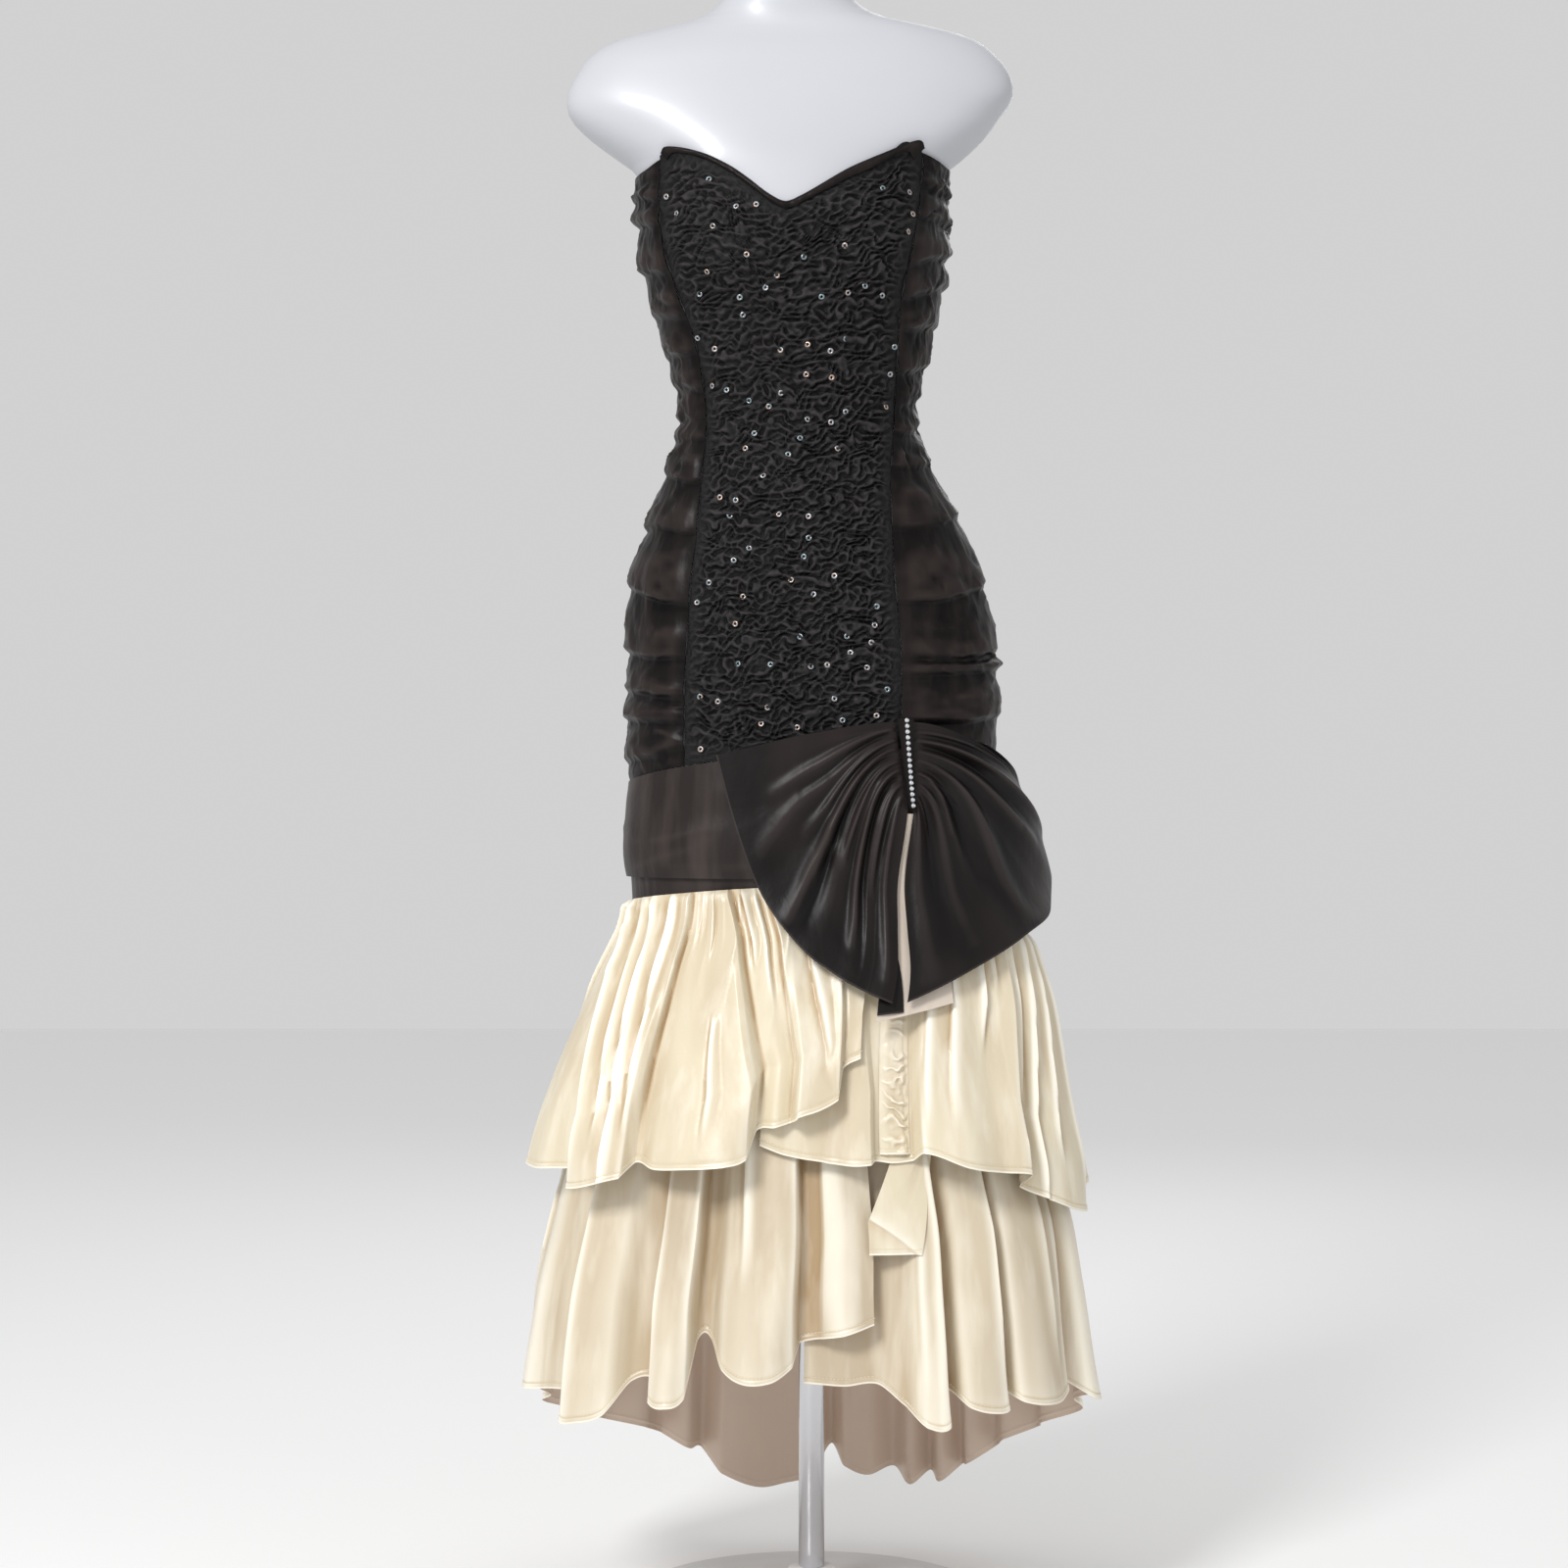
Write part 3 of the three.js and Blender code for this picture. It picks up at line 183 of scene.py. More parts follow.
LOWER_TIER = Table(
    "z cx half front back",
    (40, 1, 269, 196, 230), (100, 1, 267, 195, 226), (197, 1, 262, 188, 217),
    (234, 0, 258, 182, 212), (271, 0, 253, 175, 206), (308, 0, 248, 168, 199),
    (363, 2, 238, 157, 187), (400, 1, 229, 149, 178), (450, 0, 217, 139, 167),
    (500, 1, 204, 130, 155), (550, 3, 192, 122, 142), (600, 3, 180, 114, 130),
    (664, 0, 165.2, 105.2, 115.2),
)
UPPER_LEFT_FOLDS = Folds(
    "hem top out z under",
    (-179.97, -179.97, 0, 382, 0), (-170, -172, 12, 380, 0), (-160, -163, -10, 386, 0),
    (-150, -153, 13, 384, 0), (-141, -144, -9, 392, 0), (-131, -134, 12, 390, 0),
    (-122, -124, -10, 400, 0), (-111, -113, 12, 398, 0), (-101, -103, -9, 410, 0),
    (-90, -92, 9, 414, 0), (-78, -86, 6, 413, 0), (-67, -80, -8, 416, 0), (-56, -76, -9, 417, 0),
    (-53.8, -73, 13, 404, 0), (-39, -41, 9, 416, 0), (-37.3, -38.5, -7, 429, 0),
    (-31, -34, 4, 425, 0), (-23, -30, 12, 427, 0), (-15, -27.5, 14, 430, 0),
    (-11, -25.5, 8, 436, 0), (-9.6, -24, -7, 460, 0), (-6, -18, -1, 463, 0),
    (-3.2, -12, -5, 467, 0), (-1.9, -9, 8, 473, 0), (4.4, 3, 10, 488, 0), (5.2, 6, 3, 515, 0),
    (8.6, 12, 5, 524, 0),
)
UPPER_RIGHT_FOLDS = Folds(
    "hem top out z under",
    (-9, -13, -13, 446, 1), (-4.5, -8, -15, 438, 1), (2, -2, -14, 432, 1), (4.6, 0.5, -11, 430, 1),
    (7.6, 3, -4, 429, 1), (11.0, 5.5, -3, 430, 1), (12.2, 8, -15, 432, 1), (16, 14, -17, 430, 1),
    (20.6, 20.6, -15, 432, 1), (22, 25, 3, 440, 0), (31, 38, 12, 427, 0), (40, 47, 9, 421, 0),
    (47, 54.5, 10, 418, 0), (48.4, 56, -8, 404, 0), (55, 68, 6, 392, 0), (64.5, 76, 11, 380, 0),
    (76, 84, 6, 376, 0), (86, 90, -6, 384, 0), (95, 96, 9, 394, 0), (105, 106, -9, 396, 0),
    (116, 117, 12, 388, 0), (126, 128, -10, 392, 0), (137, 139, 13, 384, 0), (147, 149, -9, 388, 0),
    (158, 160, 13, 380, 0), (168, 170, -10, 386, 0), (176, 177, 4, 382, 0),
    (179.97, 179.97, 0, 382, 0),
)
LOWER_LEFT_FOLDS = Folds(
    "hem top out z under",
    (-179.97, -179.97, -8, 68, 0), (-177, -177, -11, 66, 0), (-170, -170, -14, 62, 0),
    (-162, -162, -9, 76, 0), (-158.5, -158, 9, 100, 0), (-154, -154, -8, 104, 0),
    (-149, -149, 8, 118, 0), (-142, -142, -9, 130, 0), (-133, -133, 10, 140, 0),
    (-123, -123, -10, 154, 0), (-112, -112, 11, 170, 0), (-101, -101, -8, 186, 0),
    (-91, -91, 7, 204, 0), (-80, -80, 8, 208, 0), (-68, -68, -6, 214, 0), (-57, -57, -9, 214, 0),
    (-55, -55, 12, 195, 0), (-49, -49, 14, 196, 0), (-43, -43, 6, 204, 0), (-38.8, -39, -9, 232, 0),
    (-33.2, -33, -12, 236, 0), (-31.8, -31.5, 6, 219, 0), (-27.5, -27.5, 14, 216, 0),
    (-23.6, -23.6, 6, 224, 0), (-22.6, -22.6, -11, 272, 0), (-20, -20, -13, 275, 0),
    (-16.2, -16, 4, 250, 0), (-11.5, -11.5, 14, 240, 0), (-6.5, -6.5, 14, 242, 0),
    (-3.2, -3, 5, 253, 0), (-2.0, -1.8, -9, 272, 0), (5, 5, 5, 280, 0), (10.6, 11, 4, 289, 0),
)
LOWER_RIGHT_FOLDS = Folds(
    "hem top out z under",
    (-1.3, -1, -15, 236, 1), (5, 5, -16, 233, 1), (11.5, 11.5, -14, 235, 1),
    (16.5, 16.5, -3, 217, 1), (19.6, 19.6, 10, 201, 0), (24.2, 24.2, 12, 201, 0),
    (25.6, 25.6, -9, 229, 0), (29.5, 29.5, 6, 215, 0), (34, 34, 12, 210, 0),
    (38.6, 38.6, 8, 211, 0), (39.8, 39.8, -9, 225, 0), (43, 43, 6, 216, 0),
    (47.5, 47.5, 12, 212, 0), (55, 55, 9, 211, 0), (61, 61, 2, 218, 0), (66, 66, -9, 222, 0),
    (72, 72, 7, 204, 0), (80, 80, 7, 199, 0), (90, 90, 5, 195, 0), (101, 101, -8, 182, 0),
    (111, 111, 10, 162, 0), (120, 120, -8, 146, 0), (128, 128, 10, 134, 0), (135, 135, -6, 120, 0),
    (140, 140, 8, 108, 0), (145, 145, -9, 92, 0), (148.6, 149, 7, 86, 0), (152.4, 152, -10, 71, 0),
    (156, 156, 6, 78, 0), (159.6, 160, -10, 66, 0), (164, 164, 6, 80, 0), (169, 169, -12, 74, 0),
    (174, 174, -7, 82, 0), (176.6, 176.6, 13, 100, 0), (179.97, 179.97, -8, 68, 0),
)
BOW_BED = Table(
    "z cx half front back",
    (530, 2, 240, 168, 190), (566, 6, 229, 158, 178), (602, 8, 215, 146, 162),
    (640, 5, 197, 133, 145), (680, 1, 185, 124, 133), (740, 0, 182, 121, 132),
    (800, 0, 183, 120, 134), (840, 1, 184, 120, 138),
)
LEFT_WING = Folds(
    "angle z out",
    (-25.5, 794, 3), (-20.5, 737, 4), (-13, 672, 6), (-5.5, 630, 5), (1.5, 601, 4), (8, 584, 4),
    (14, 573, 5),
)
RIGHT_WING = Folds(
    "angle z out",
    (57, 803, 3), (90, 766, 9), (101, 722, 33), (97, 683, 38), (84, 651, 22), (60, 630, 11),
    (38, 605, 7), (17.4, 574, 5),
)
WING_PLEATS = Table(
    "at rise",
    (0.0, 0), (0.1, 1), (0.17, 0), (0.25, 6), (0.33, 0), (0.42, 8), (0.5, 0), (0.58, 7), (0.66, 0),
    (0.75, 8), (0.84, 0), (0.92, 5), (1.0, 1),
)

# Sharp-edged pleats of the skirt: their angles at the seam and at the hem, the shares of the way
# down at which they start and end, their rise and width, and the side on which they fall away
UPPER_LEFT_PLEATS = Table(
    "seam hem start end rise width side",
    (-73, -54, 0, 1.0, 3.2, 14, 1), (-64, -48, 0, 0.9, 2.2, 8, 1), (-57, -44, 0, 1.1, 2.6, 8, 1),
    (-47, -40, 0, 0.9, 2.6, 8, 1), (-42, -39.5, 0, 0.3, 2.0, 6, 1),
    (-38.3, -37.8, 0, 0.9, 3.4, 12, -1), (-33, -31, 0, 0.22, 2.0, 7, 1),
    (-29, -26, 0, 0.3, 2.2, 7, -1), (-27, -20, 0.45, 0.95, 1.8, 10, 1),
    (-24.4, -10.4, 0, 1.0, 4.4, 15, -1), (-20, -8, 0, 0.4, 3.0, 8, 1),
    (-16, -6, 0.02, 0.55, 2.6, 9, -1), (-12, -2.4, 0, 1.1, 3.6, 11, 1),
    (-5, 2.5, 0.1, 0.9, 2.0, 9, 1), (3, 4.4, 0, 1.0, 2.4, 9, -1),
)
UPPER_RIGHT_PLEATS = Table(
    "seam hem start end rise width side",
    (27, 23, 0.05, 0.95, 1.6, 10, 1), (34, 29, 0.3, 0.9, 1.6, 12, 1),
    (46, 37, 0.1, 0.62, 3.0, 9, -1), (50, 43, 0.08, 0.45, 2.4, 7, -1),
    (55, 47.4, 0, 1.1, 3.8, 14, -1), (61, 51, 0, 0.8, 2.4, 8, -1), (69, 54, 0, 1.1, 3.2, 12, -1),
    (76, 62, 0, 0.9, 2.6, 9, -1), (82, 74, 0, 1.0, 3.0, 12, -1),
)
LOWER_LEFT_PLEATS = Table(
    "seam hem start end rise width side",
    (-59, -55.3, 0.3, 1.0, 3.4, 12, 1), (-36, -32, 0.4, 1.0, 3.4, 9, 1),
    (-24, -23.2, 0.35, 1.0, 3.8, 9, -1), (-14, -13, 0.35, 0.85, 3.0, 8, 1),
    (-4, -2.6, 0.35, 1.0, 4.2, 13, -1), (2, 1.5, 0.4, 1.1, 2.6, 14, 1),
)
LOWER_RIGHT_PLEATS = Table(
    "seam hem start end rise width side",
    (21, 20, 0.4, 1.0, 2.2, 9, 1), (23.5, 24.8, 0.4, 1.0, 4.0, 11, -1),
    (40, 39.3, 0.4, 1.0, 3.8, 10, -1), (58, 57, 0.4, 1.0, 2.4, 12, -1),
    (66, 64, 0.4, 1.0, 3.4, 10, -1),
)

# Sizes that the surfaces share with the solids
CLEARANCE = 2.4
SATIN_WALL = 1.5
SEAM_GAP = 0.3
LAYER_STEP = 2.0
SEAM_LEVEL = 664.0
FOLD_GROWTH = 1.35
LEAN = 1.35  # a fold has reached its hem's angle after 1 / LEAN of the way down
SIDE_SEAM = 97.0
BAND_BOTTOM = 682.0
BAND_INSIDE = CLEARANCE + SATIN_WALL + SEAM_GAP
BAND_BULGE = Table("v out", (0, 0), (0.3, 3), (0.75, 6), (1, 4.2))
TAIL_HANG = Table("v out", (0, 13), (0.2, 11), (1, 10.5))
CUP_RISE, CUP_ANGLE, CUP_WIDE, CUP_HEIGHT, CUP_TALL = 11, 31, 19, 1262, 40


class Side(Enum):
    """A side of the gown, as the viewer sees it."""

    LEFT = "left"
    RIGHT = "right"


def smooth(x: Array | float) -> Array:
    """0 below 0, 1 above 1 and an S-curve between them."""
    f = np.clip(x, 0, 1)
    return f * f * (3 - 2 * f)


def blend(a: Array | float, b: Array | float, share: Array | float) -> Array:
    """The value a share of the way from a to b."""
    return a + (b - a) * share


def oval(table: Table, angle: Array, z: Array, out: Array | float, level: Array | None = None) -> Array:
    """Points on a table's oval cross-sections.

    Args:
        table: the cross-sections.
        angle: degrees round the section.
        z: heights of the points.
        out: how far the points stand out from the section.
        level: the heights at which the table is read, where they aren't z.

    Returns:
        An array of points with one more axis than angle.
    """
    at = z if level is None else level
    cx, half, front, back = (table.read(name, at) for name in ("cx", "half", "front", "back"))
    power = table.read("power", at) if "power" in table.names else ROUNDNESS
    sine, cosine = np.sin(np.radians(angle)), np.cos(np.radians(angle))
    depth = np.where(cosine > 0, front, back)
    x = half * np.sign(sine) * np.abs(sine) ** (2 / power)
    y = -depth * np.sign(cosine) * np.abs(cosine) ** (2 / power)
    nx = np.sign(x) * np.abs(x / half) ** (power - 1) / half
    ny = np.sign(y) * np.abs(y / depth) ** (power - 1) / depth
    length = np.hypot(nx, ny)
    return np.stack([cx + x + out * nx / length, y + out * ny / length, z + 0 * x], axis=-1)


def cup(angle: Array, z: Array) -> Array:
    """How far the bodice's cups stand out from the plain figure."""
    aside, above = (np.abs(angle) - CUP_ANGLE) / CUP_WIDE, (z - CUP_HEIGHT) / CUP_TALL
    return CUP_RISE * np.exp(-(aside**2) - above**2)


def figure(angle: Array, z: Array, out: Array | float) -> Array:
    """Points that stand out from the figure."""
    return oval(FIGURE, angle, z, out + cup(angle, z))


def front_seam(side: Side, z: Array) -> Array:
    """The angle of a front seam at a height.

    Args:
        side: which of the two seams.
        z: heights.

    Returns:
        Degrees, one for each height.
    """
    share = FRONT_SEAMS.read(side.value, z) / FIGURE.read("half", z)
    sine = np.sign(share) * np.minimum(np.abs(share), 1) ** (FIGURE.read("power", z) / 2)
    return np.degrees(np.arcsin(sine))


class Noise:
    """Smooth random heights from 0 to 1 over a plane, the same on each run."""

    SIZE = 97

    def __init__(self, seed: int) -> None:
        """Draws the heights of a square lattice."""
        self.lattice = np.random.default_rng(seed).random((self.SIZE, self.SIZE))

    def at(self, x: Array, y: Array) -> Array:
        """The height at each point of the plane.

        Args:
            x: places across, in steps of the lattice.
            y: places down, in the same steps.

        Returns:
            Heights from 0 to 1.
        """
        i, j = np.floor(x).astype(int), np.floor(y).astype(int)
        fx, fy = smooth(x - i), smooth(y - j)
        n, near = self.SIZE, self.lattice
        low = blend(near[i % n, j % n], near[(i + 1) % n, j % n], fx)
        high = blend(near[i % n, (j + 1) % n], near[(i + 1) % n, (j + 1) % n], fx)
        return blend(low, high, fy)

    def ridges(self, x: Array, y: Array) -> Array:
        """Narrow winding ridges, 1 on their crests."""
        return 1 - np.abs(2 * self.at(x, y) - 1)


@dataclass(frozen=True)
class Crease:
    """A fold pressed into a sheet: a soft ridge, or a trough where its height is below 0."""

    start: Pair
    end: Pair
    width: float
    height: float
    bow: float = 0.0

    def raise_at(self, x: Array, y: Array) -> Array:
        """How far the fold lifts each point of the sheet.

        Args:
            x: places across the sheet.
            y: places up the sheet.

        Returns:
            The lifts, in the unit of height.
        """
        run = np.subtract(self.end, self.start)
        length = float(np.hypot(*run))
        along = ((x - self.start[0]) * run[0] + (y - self.start[1]) * run[1]) / length**2
        aside = ((x - self.start[0]) * run[1] - (y - self.start[1]) * run[0]) / length
        f = np.clip(along, 0, 1)
        aside = aside - self.bow * 4 * f * (1 - f)
        past = (along - f) * length
        taper = np.sqrt(np.sin(np.pi * np.clip(f * 0.9 + 0.05, 0, 1)))
        return self.height * taper * np.exp(-(aside**2 + past**2) / self.width**2)


def creased(creases: list[Crease], x: Array, y: Array) -> Array:
    """The lift of several folds together."""
    return sum((crease.raise_at(x, y) for crease in creases), np.zeros_like(x))


def scattered_creases(seed: int, count: int, width: float, low: float, high: float) -> list[Crease]:
    """Small uneven folds over a ruched panel.

    Args:
        seed: of the random draws.
        count: how many folds.
        width: how wide the panel is.
        low: the lowest height.
        high: the greatest height.

    Returns:
        The folds, mostly level, as tall as they are narrow.
    """
    draw = np.random.default_rng(seed)
    made = []
    for _ in range(count):
        x, y = draw.uniform(0, width), draw.uniform(low, high)
        reach, drop = draw.uniform(16, 62), draw.uniform(-22, 22)
        tall = draw.uniform(0.9, 2.6) * (1 if draw.random() < 0.55 else -1)
        wide, bow = draw.uniform(1.8, 4.6), draw.uniform(-5, 5)
        made.append(Crease((x, y), (x + reach, y + drop), wide, tall, bow))
    return made


# Folds of the bow's wings, in hundredths from the top corner to the slit and from the knot outward
LEFT_WING_CREASES = [
    Crease((9, 4), (17, 76), 2.6, 3.4, 2), Crease((15, 6), (22, 60), 2.2, -2.6, 2),
    Crease((24, 48), (27, 92), 2.6, 2.4, -1), Crease((22, 3), (34, 66), 2.4, 3.6, 3),
    Crease((32, 4), (45, 96), 2.8, 5.0, 3), Crease((40, 6), (51, 90), 2.6, -3.6, 2),
    Crease((47, 3), (58, 58), 2.4, 3.2, 2), Crease((57, 3), (71, 84), 2.8, 5.2, 3),
    Crease((66, 5), (77, 92), 2.4, -3.4, 2), Crease((74, 3), (82, 62), 2.4, 3.4, 1),
    Crease((86, 5), (93, 90), 2.8, 3.0, 0), Crease((36, 52), (62, 60), 4.0, 1.6, -3),
]
RIGHT_WING_CREASES = [
    Crease((12, 4), (15, 70), 2.6, 3.0, 1), Crease((22, 4), (29, 96), 3.0, 5.4, 3),
    Crease((29, 6), (38, 80), 2.8, -3.8, 3), Crease((35, 4), (45, 62), 2.4, 3.4, 2),
    Crease((46, 4), (66, 94), 3.0, 5.4, 4), Crease((54, 5), (72, 70), 2.8, -3.6, 3),
    Crease((60, 3), (74, 44), 2.2, 3.4, 1), Crease((72, 4), (84, 90), 2.6, 2.6, 2),
    Crease((82, 14), (90, 84), 4.0, -3.6, 0), Crease((93, 8), (96, 94), 2.4, 2.6, 0),
]


# Shader nodes


class Maths:
    """A value socket that takes part in sums, products and quotients."""

    def __init__(self, tree: bpy.types.NodeTree, socket: Socket) -> None:
        """Wraps a socket of a tree."""
        self.tree, self.socket = tree, socket

    def _join(self, operation: str, first: object, second: object) -> "Maths":
        """Adds a Math node.

        Args:
            operation: what the node does.
            first: its first value or socket.
            second: its second value or socket.

        Returns:
            The node's result.
        """
        node = self.tree.nodes.new("ShaderNodeMath")
        node.operation = operation
        for entry, value in zip(node.inputs, (first, second)):
            if isinstance(value, Maths):
                self.tree.links.new(value.socket, entry)
            else:
                entry.default_value = value
        return Maths(self.tree, node.outputs[0])

    def __add__(self, other: object) -> "Maths":
        """self + other."""
        return self._join("ADD", self, other)

    def __sub__(self, other: object) -> "Maths":
        """self - other."""
        return self._join("SUBTRACT", self, other)

    def __rsub__(self, other: object) -> "Maths":
        """other - self."""
        return self._join("SUBTRACT", other, self)

    def __mul__(self, other: object) -> "Maths":
        """self * other."""
        return self._join("MULTIPLY", self, other)

    def below(self, limit: float) -> "Maths":
        """1 where the value is below the limit."""
        return self._join("LESS_THAN", self, limit)

    def above(self, limit: float) -> "Maths":
        """1 where the value is above the limit."""
        return self._join("GREATER_THAN", self, limit)


class Surface:
    """A material with one Principled shader, and the means to add nodes before it."""

    def __init__(self, name: str, colour: Triple, **constants: float) -> None:
        """Makes the material.

        Args:
            name: the material's name.
            colour: its base colour.
            constants: values of the shader's own sockets, spaces written as underscores.
        """
        self.material = bpy.data.materials.new(name)
        self.material.use_nodes = True
        self.tree = self.material.node_tree
        self.shader = self.tree.nodes["Principled BSDF"]
        self.shader.inputs["Base Color"].default_value = (*colour, 1)
        for socket, value in constants.items():
            self.shader.inputs[socket.replace("_", " ")].default_value = value

    def add(self, kind: str, settings: Settings = None, **sockets: object) -> bpy.types.Node:
        """Adds a node.

        Args:
            kind: the node's type, without ShaderNode.
            settings: properties of the node, or stops of a ramp as (place, colour) pairs.
            sockets: values or links of its inputs, spaces written as underscores.

        Returns:
            The node.
        """
        node = self.tree.nodes.new("ShaderNode" + kind)
        for name, value in (settings or {}).items():
            if name == "stops":
                self._fill_ramp(node, value)
            else:
                setattr(node, name, value)
        for name, value in sockets.items():
            self.feed(node.inputs[name.replace("_", " ")], value)
        return node

    def _fill_ramp(self, node: bpy.types.Node, stops: tuple[tuple[float, Triple], ...]) -> None:
        """Sets the stops of a colour ramp.

        Args:
            node: the ramp.
            stops: pairs of a place and a colour.
        """
        ramp = node.color_ramp
        while len(ramp.elements) < len(stops):
            ramp.elements.new(0.5)
        for element, (place, colour) in zip(ramp.elements, stops):
            element.position = place
            element.color = (*colour, 1)

    def feed(self, entry: Socket, value: object) -> None:
        """Links a socket to an input, or sets the input's value.

        Args:
            entry: the input.
            value: a socket, a wrapped socket or a plain value.
        """
        if isinstance(value, Maths):
            value = value.socket
        if isinstance(value, Socket):
            self.tree.links.new(value, entry)
        else:
            entry.default_value = value

    def object_place(self, scale: Triple) -> Socket:
        """Object coordinates, scaled."""
        place = self.add("TexCoord").outputs["Object"]
        return self.add("Mapping", Vector=place, Scale=scale).outputs[0]

    def noise(self, scale: float, detail: float = 3, stretch: tuple = (1, 1, 1)) -> Maths:
        """A noise pattern over the object.

        Args:
            scale: features in a metre.
            detail: how many finer layers it has.
            stretch: how much denser it is along each axis.

        Returns:
            Its value, around 0.5.
        """
        node = self.add("TexNoise", None, Vector=self.object_place(stretch), Scale=scale, Detail=detail)
        return Maths(self.tree, node.outputs["Fac"])

    def cloth_place(self) -> tuple[Maths, Maths]:
        """The piece's own cloth coordinates: metres along its hem, and metres above it."""
        split = self.add("SeparateXYZ", None, Vector=self.add("UVMap", {"uv_map": "cloth"}).outputs[0])
        return Maths(self.tree, split.outputs[0]), Maths(self.tree, split.outputs[1])

    def lift(self) -> Maths:
        """How far the cloth stands above the cloth round it, 0.5 where it is level with it; painted
        shade and highlights follow it.
        """
        return Maths(self.tree, self.add("Attribute", {"attribute_name": "lift"}).outputs["Fac"])

    def mix(self, share: object, first: object, second: object) -> Socket:
        """A colour between two colours.

        Args:
            share: how much of the second there is, from 0 to 1.
            first: a colour or a socket.
            second: a colour or a socket.

        Returns:
            The mixed colour.
        """
        node = self.add("Mix", {"data_type": "RGBA"})
        self.feed(node.inputs[0], share)
        for entry, value in ((node.inputs[6], first), (node.inputs[7], second)):
            self.feed(entry, (*value, 1) if isinstance(value, tuple) else value)
        return node.outputs[2]

    def paint(self, colour: object, roughness: object | None = None) -> None:
        """Gives the shader its colour and its roughness.

        Args:
            colour: the base colour.
            roughness: the roughness, where it isn't a constant.
        """
        self.feed(self.shader.inputs["Base Color"], colour)
        if roughness is not None:
            self.feed(self.shader.inputs["Roughness"], roughness)

    def emboss(self, *reliefs: Relief) -> None:
        """Adds noise as relief, each layer over the ones before it.

        Args:
            reliefs: for each layer its scale, detail, stretch upward, strength and depth in metres.
        """
        entry = self.shader.inputs["Normal"]
        for scale, detail, stretch, strength, depth in reliefs:
            height = self.noise(scale, detail, (1, 1, stretch)).socket
            node = self.add("Bump", None, Height=height, Strength=strength, Distance=depth)
            if entry.is_linked:
                self.tree.links.new(entry.links[0].from_socket, node.inputs["Normal"])
            self.feed(entry, node.outputs[0])


@dataclass(frozen=True)
class Satin:
    """Satin: a smooth weave with a broad sheen, varied in soft clouds of a second colour that are
    partly random tone and partly painted sheen.

    The hollow and crest colours follow the height of the cloth over the cloth round it: painted shade
    in the hollows and painted highlights on the crests. A further share of the crest colour runs down
    the cloth in long painted gleams.
    """

    name: str
    slot: str
    colour: Triple
    cloud: Triple
    roughness: float
    sheen: float
    specular: float
    # painted shade in the hollows, painted highlights on the crests and along the hem's edge, then the
    # reverse side's own colour
    hollow_shade: Triple | None = None
    crest: Triple | None = None
    hem: Triple | None = None
    reverse: Triple | None = None
    patches: float = 8.0
    stretch: float = 0.4
    # share of the crest colour painted down the cloth in long gleams
    painted_gleams: float = 0.0
    cloud_gain: float = 4.0
    cloud_floor: float = 1.7
    hollow_gain: float = 1.8
    crest_gain: float = 2.4
    crest_from: float = 0.55
    gleam_scale: float = 46.0
    gleam_gain: float = 5.0
    gleam_floor: float = 2.4
    edge: float = 0.0016
    stitches: Pair = (0.0047, 0.0058)

    def _shaded(self, surface: Surface, colour: object) -> object:
        """Paints shade into the hollows and highlights onto the crests, and long painted gleams.

        Args:
            surface: the material.
            colour: the colour so far.

        Returns:
            The shaded colour.
        """
        lift = surface.lift()
        # painted shade in the hollows and painted highlights on the crests
        colour = surface.mix((0.5 - lift) * self.hollow_gain, colour, self.hollow_shade)
        colour = surface.mix((lift - self.crest_from) * self.crest_gain, colour, self.crest)
        # long painted gleams of the crest colour
        gleam = surface.noise(self.gleam_scale, 3, (1, 1, 0.13)) * self.gleam_gain - self.gleam_floor
        return surface.mix(gleam * self.painted_gleams, colour, self.crest)

    def _hemmed(self, surface: Surface, colour: object) -> object:
        """Paints a highlight along the hem's edge, and with a reverse side darkens the line of stitches
        and colours that side.

        Args:
            surface: the material.
            colour: the colour so far.

        Returns:
            The colour with the hem in it.
        """
        across, above = surface.cloth_place()
        low, high = self.stitches
        stitched = above.below(high) * above.above(low)
        # painted highlight along the hem's edge
        colour = surface.mix(above.below(self.edge) * 0.7, colour, self.hem)
        if self.reverse:
            colour = surface.mix(stitched * 0.45, colour, self.cloud)
            colour = surface.mix(across.below(0.5 * REVERSE_SHIFT), colour, self.reverse)
        return colour

    def make(self) -> bpy.types.Material:
        """Builds the material.

        Returns:
            The material.
        """
        surface = Surface(self.name, self.colour, Roughness=self.roughness, Sheen_Weight=self.sheen,
                          Sheen_Roughness=0.35, Specular_IOR_Level=self.specular)
        # soft clouds of a second colour: partly random tone, partly painted sheen
        clouds = surface.noise(self.patches, 2, (1, 1, self.stretch)) * self.cloud_gain
        colour = surface.mix(clouds - self.cloud_floor, self.colour, self.cloud)
        if self.hollow_shade:
            colour = self._shaded(surface, colour)
        if self.hem:
            colour = self._hemmed(surface, colour)
        streaks = surface.noise(90, 3, (1, 1, 0.12))
        surface.paint(colour, (streaks - 0.5) * 0.16 + self.roughness)
        weave, wrinkles = (2600, 1, 0.4, 0.25, 0.00015), (55, 3, 0.5, 0.35, 0.0012)
        surface.emboss(weave, wrinkles, (24, 5, 0.7, 0.4, 0.0035))
        return surface.material


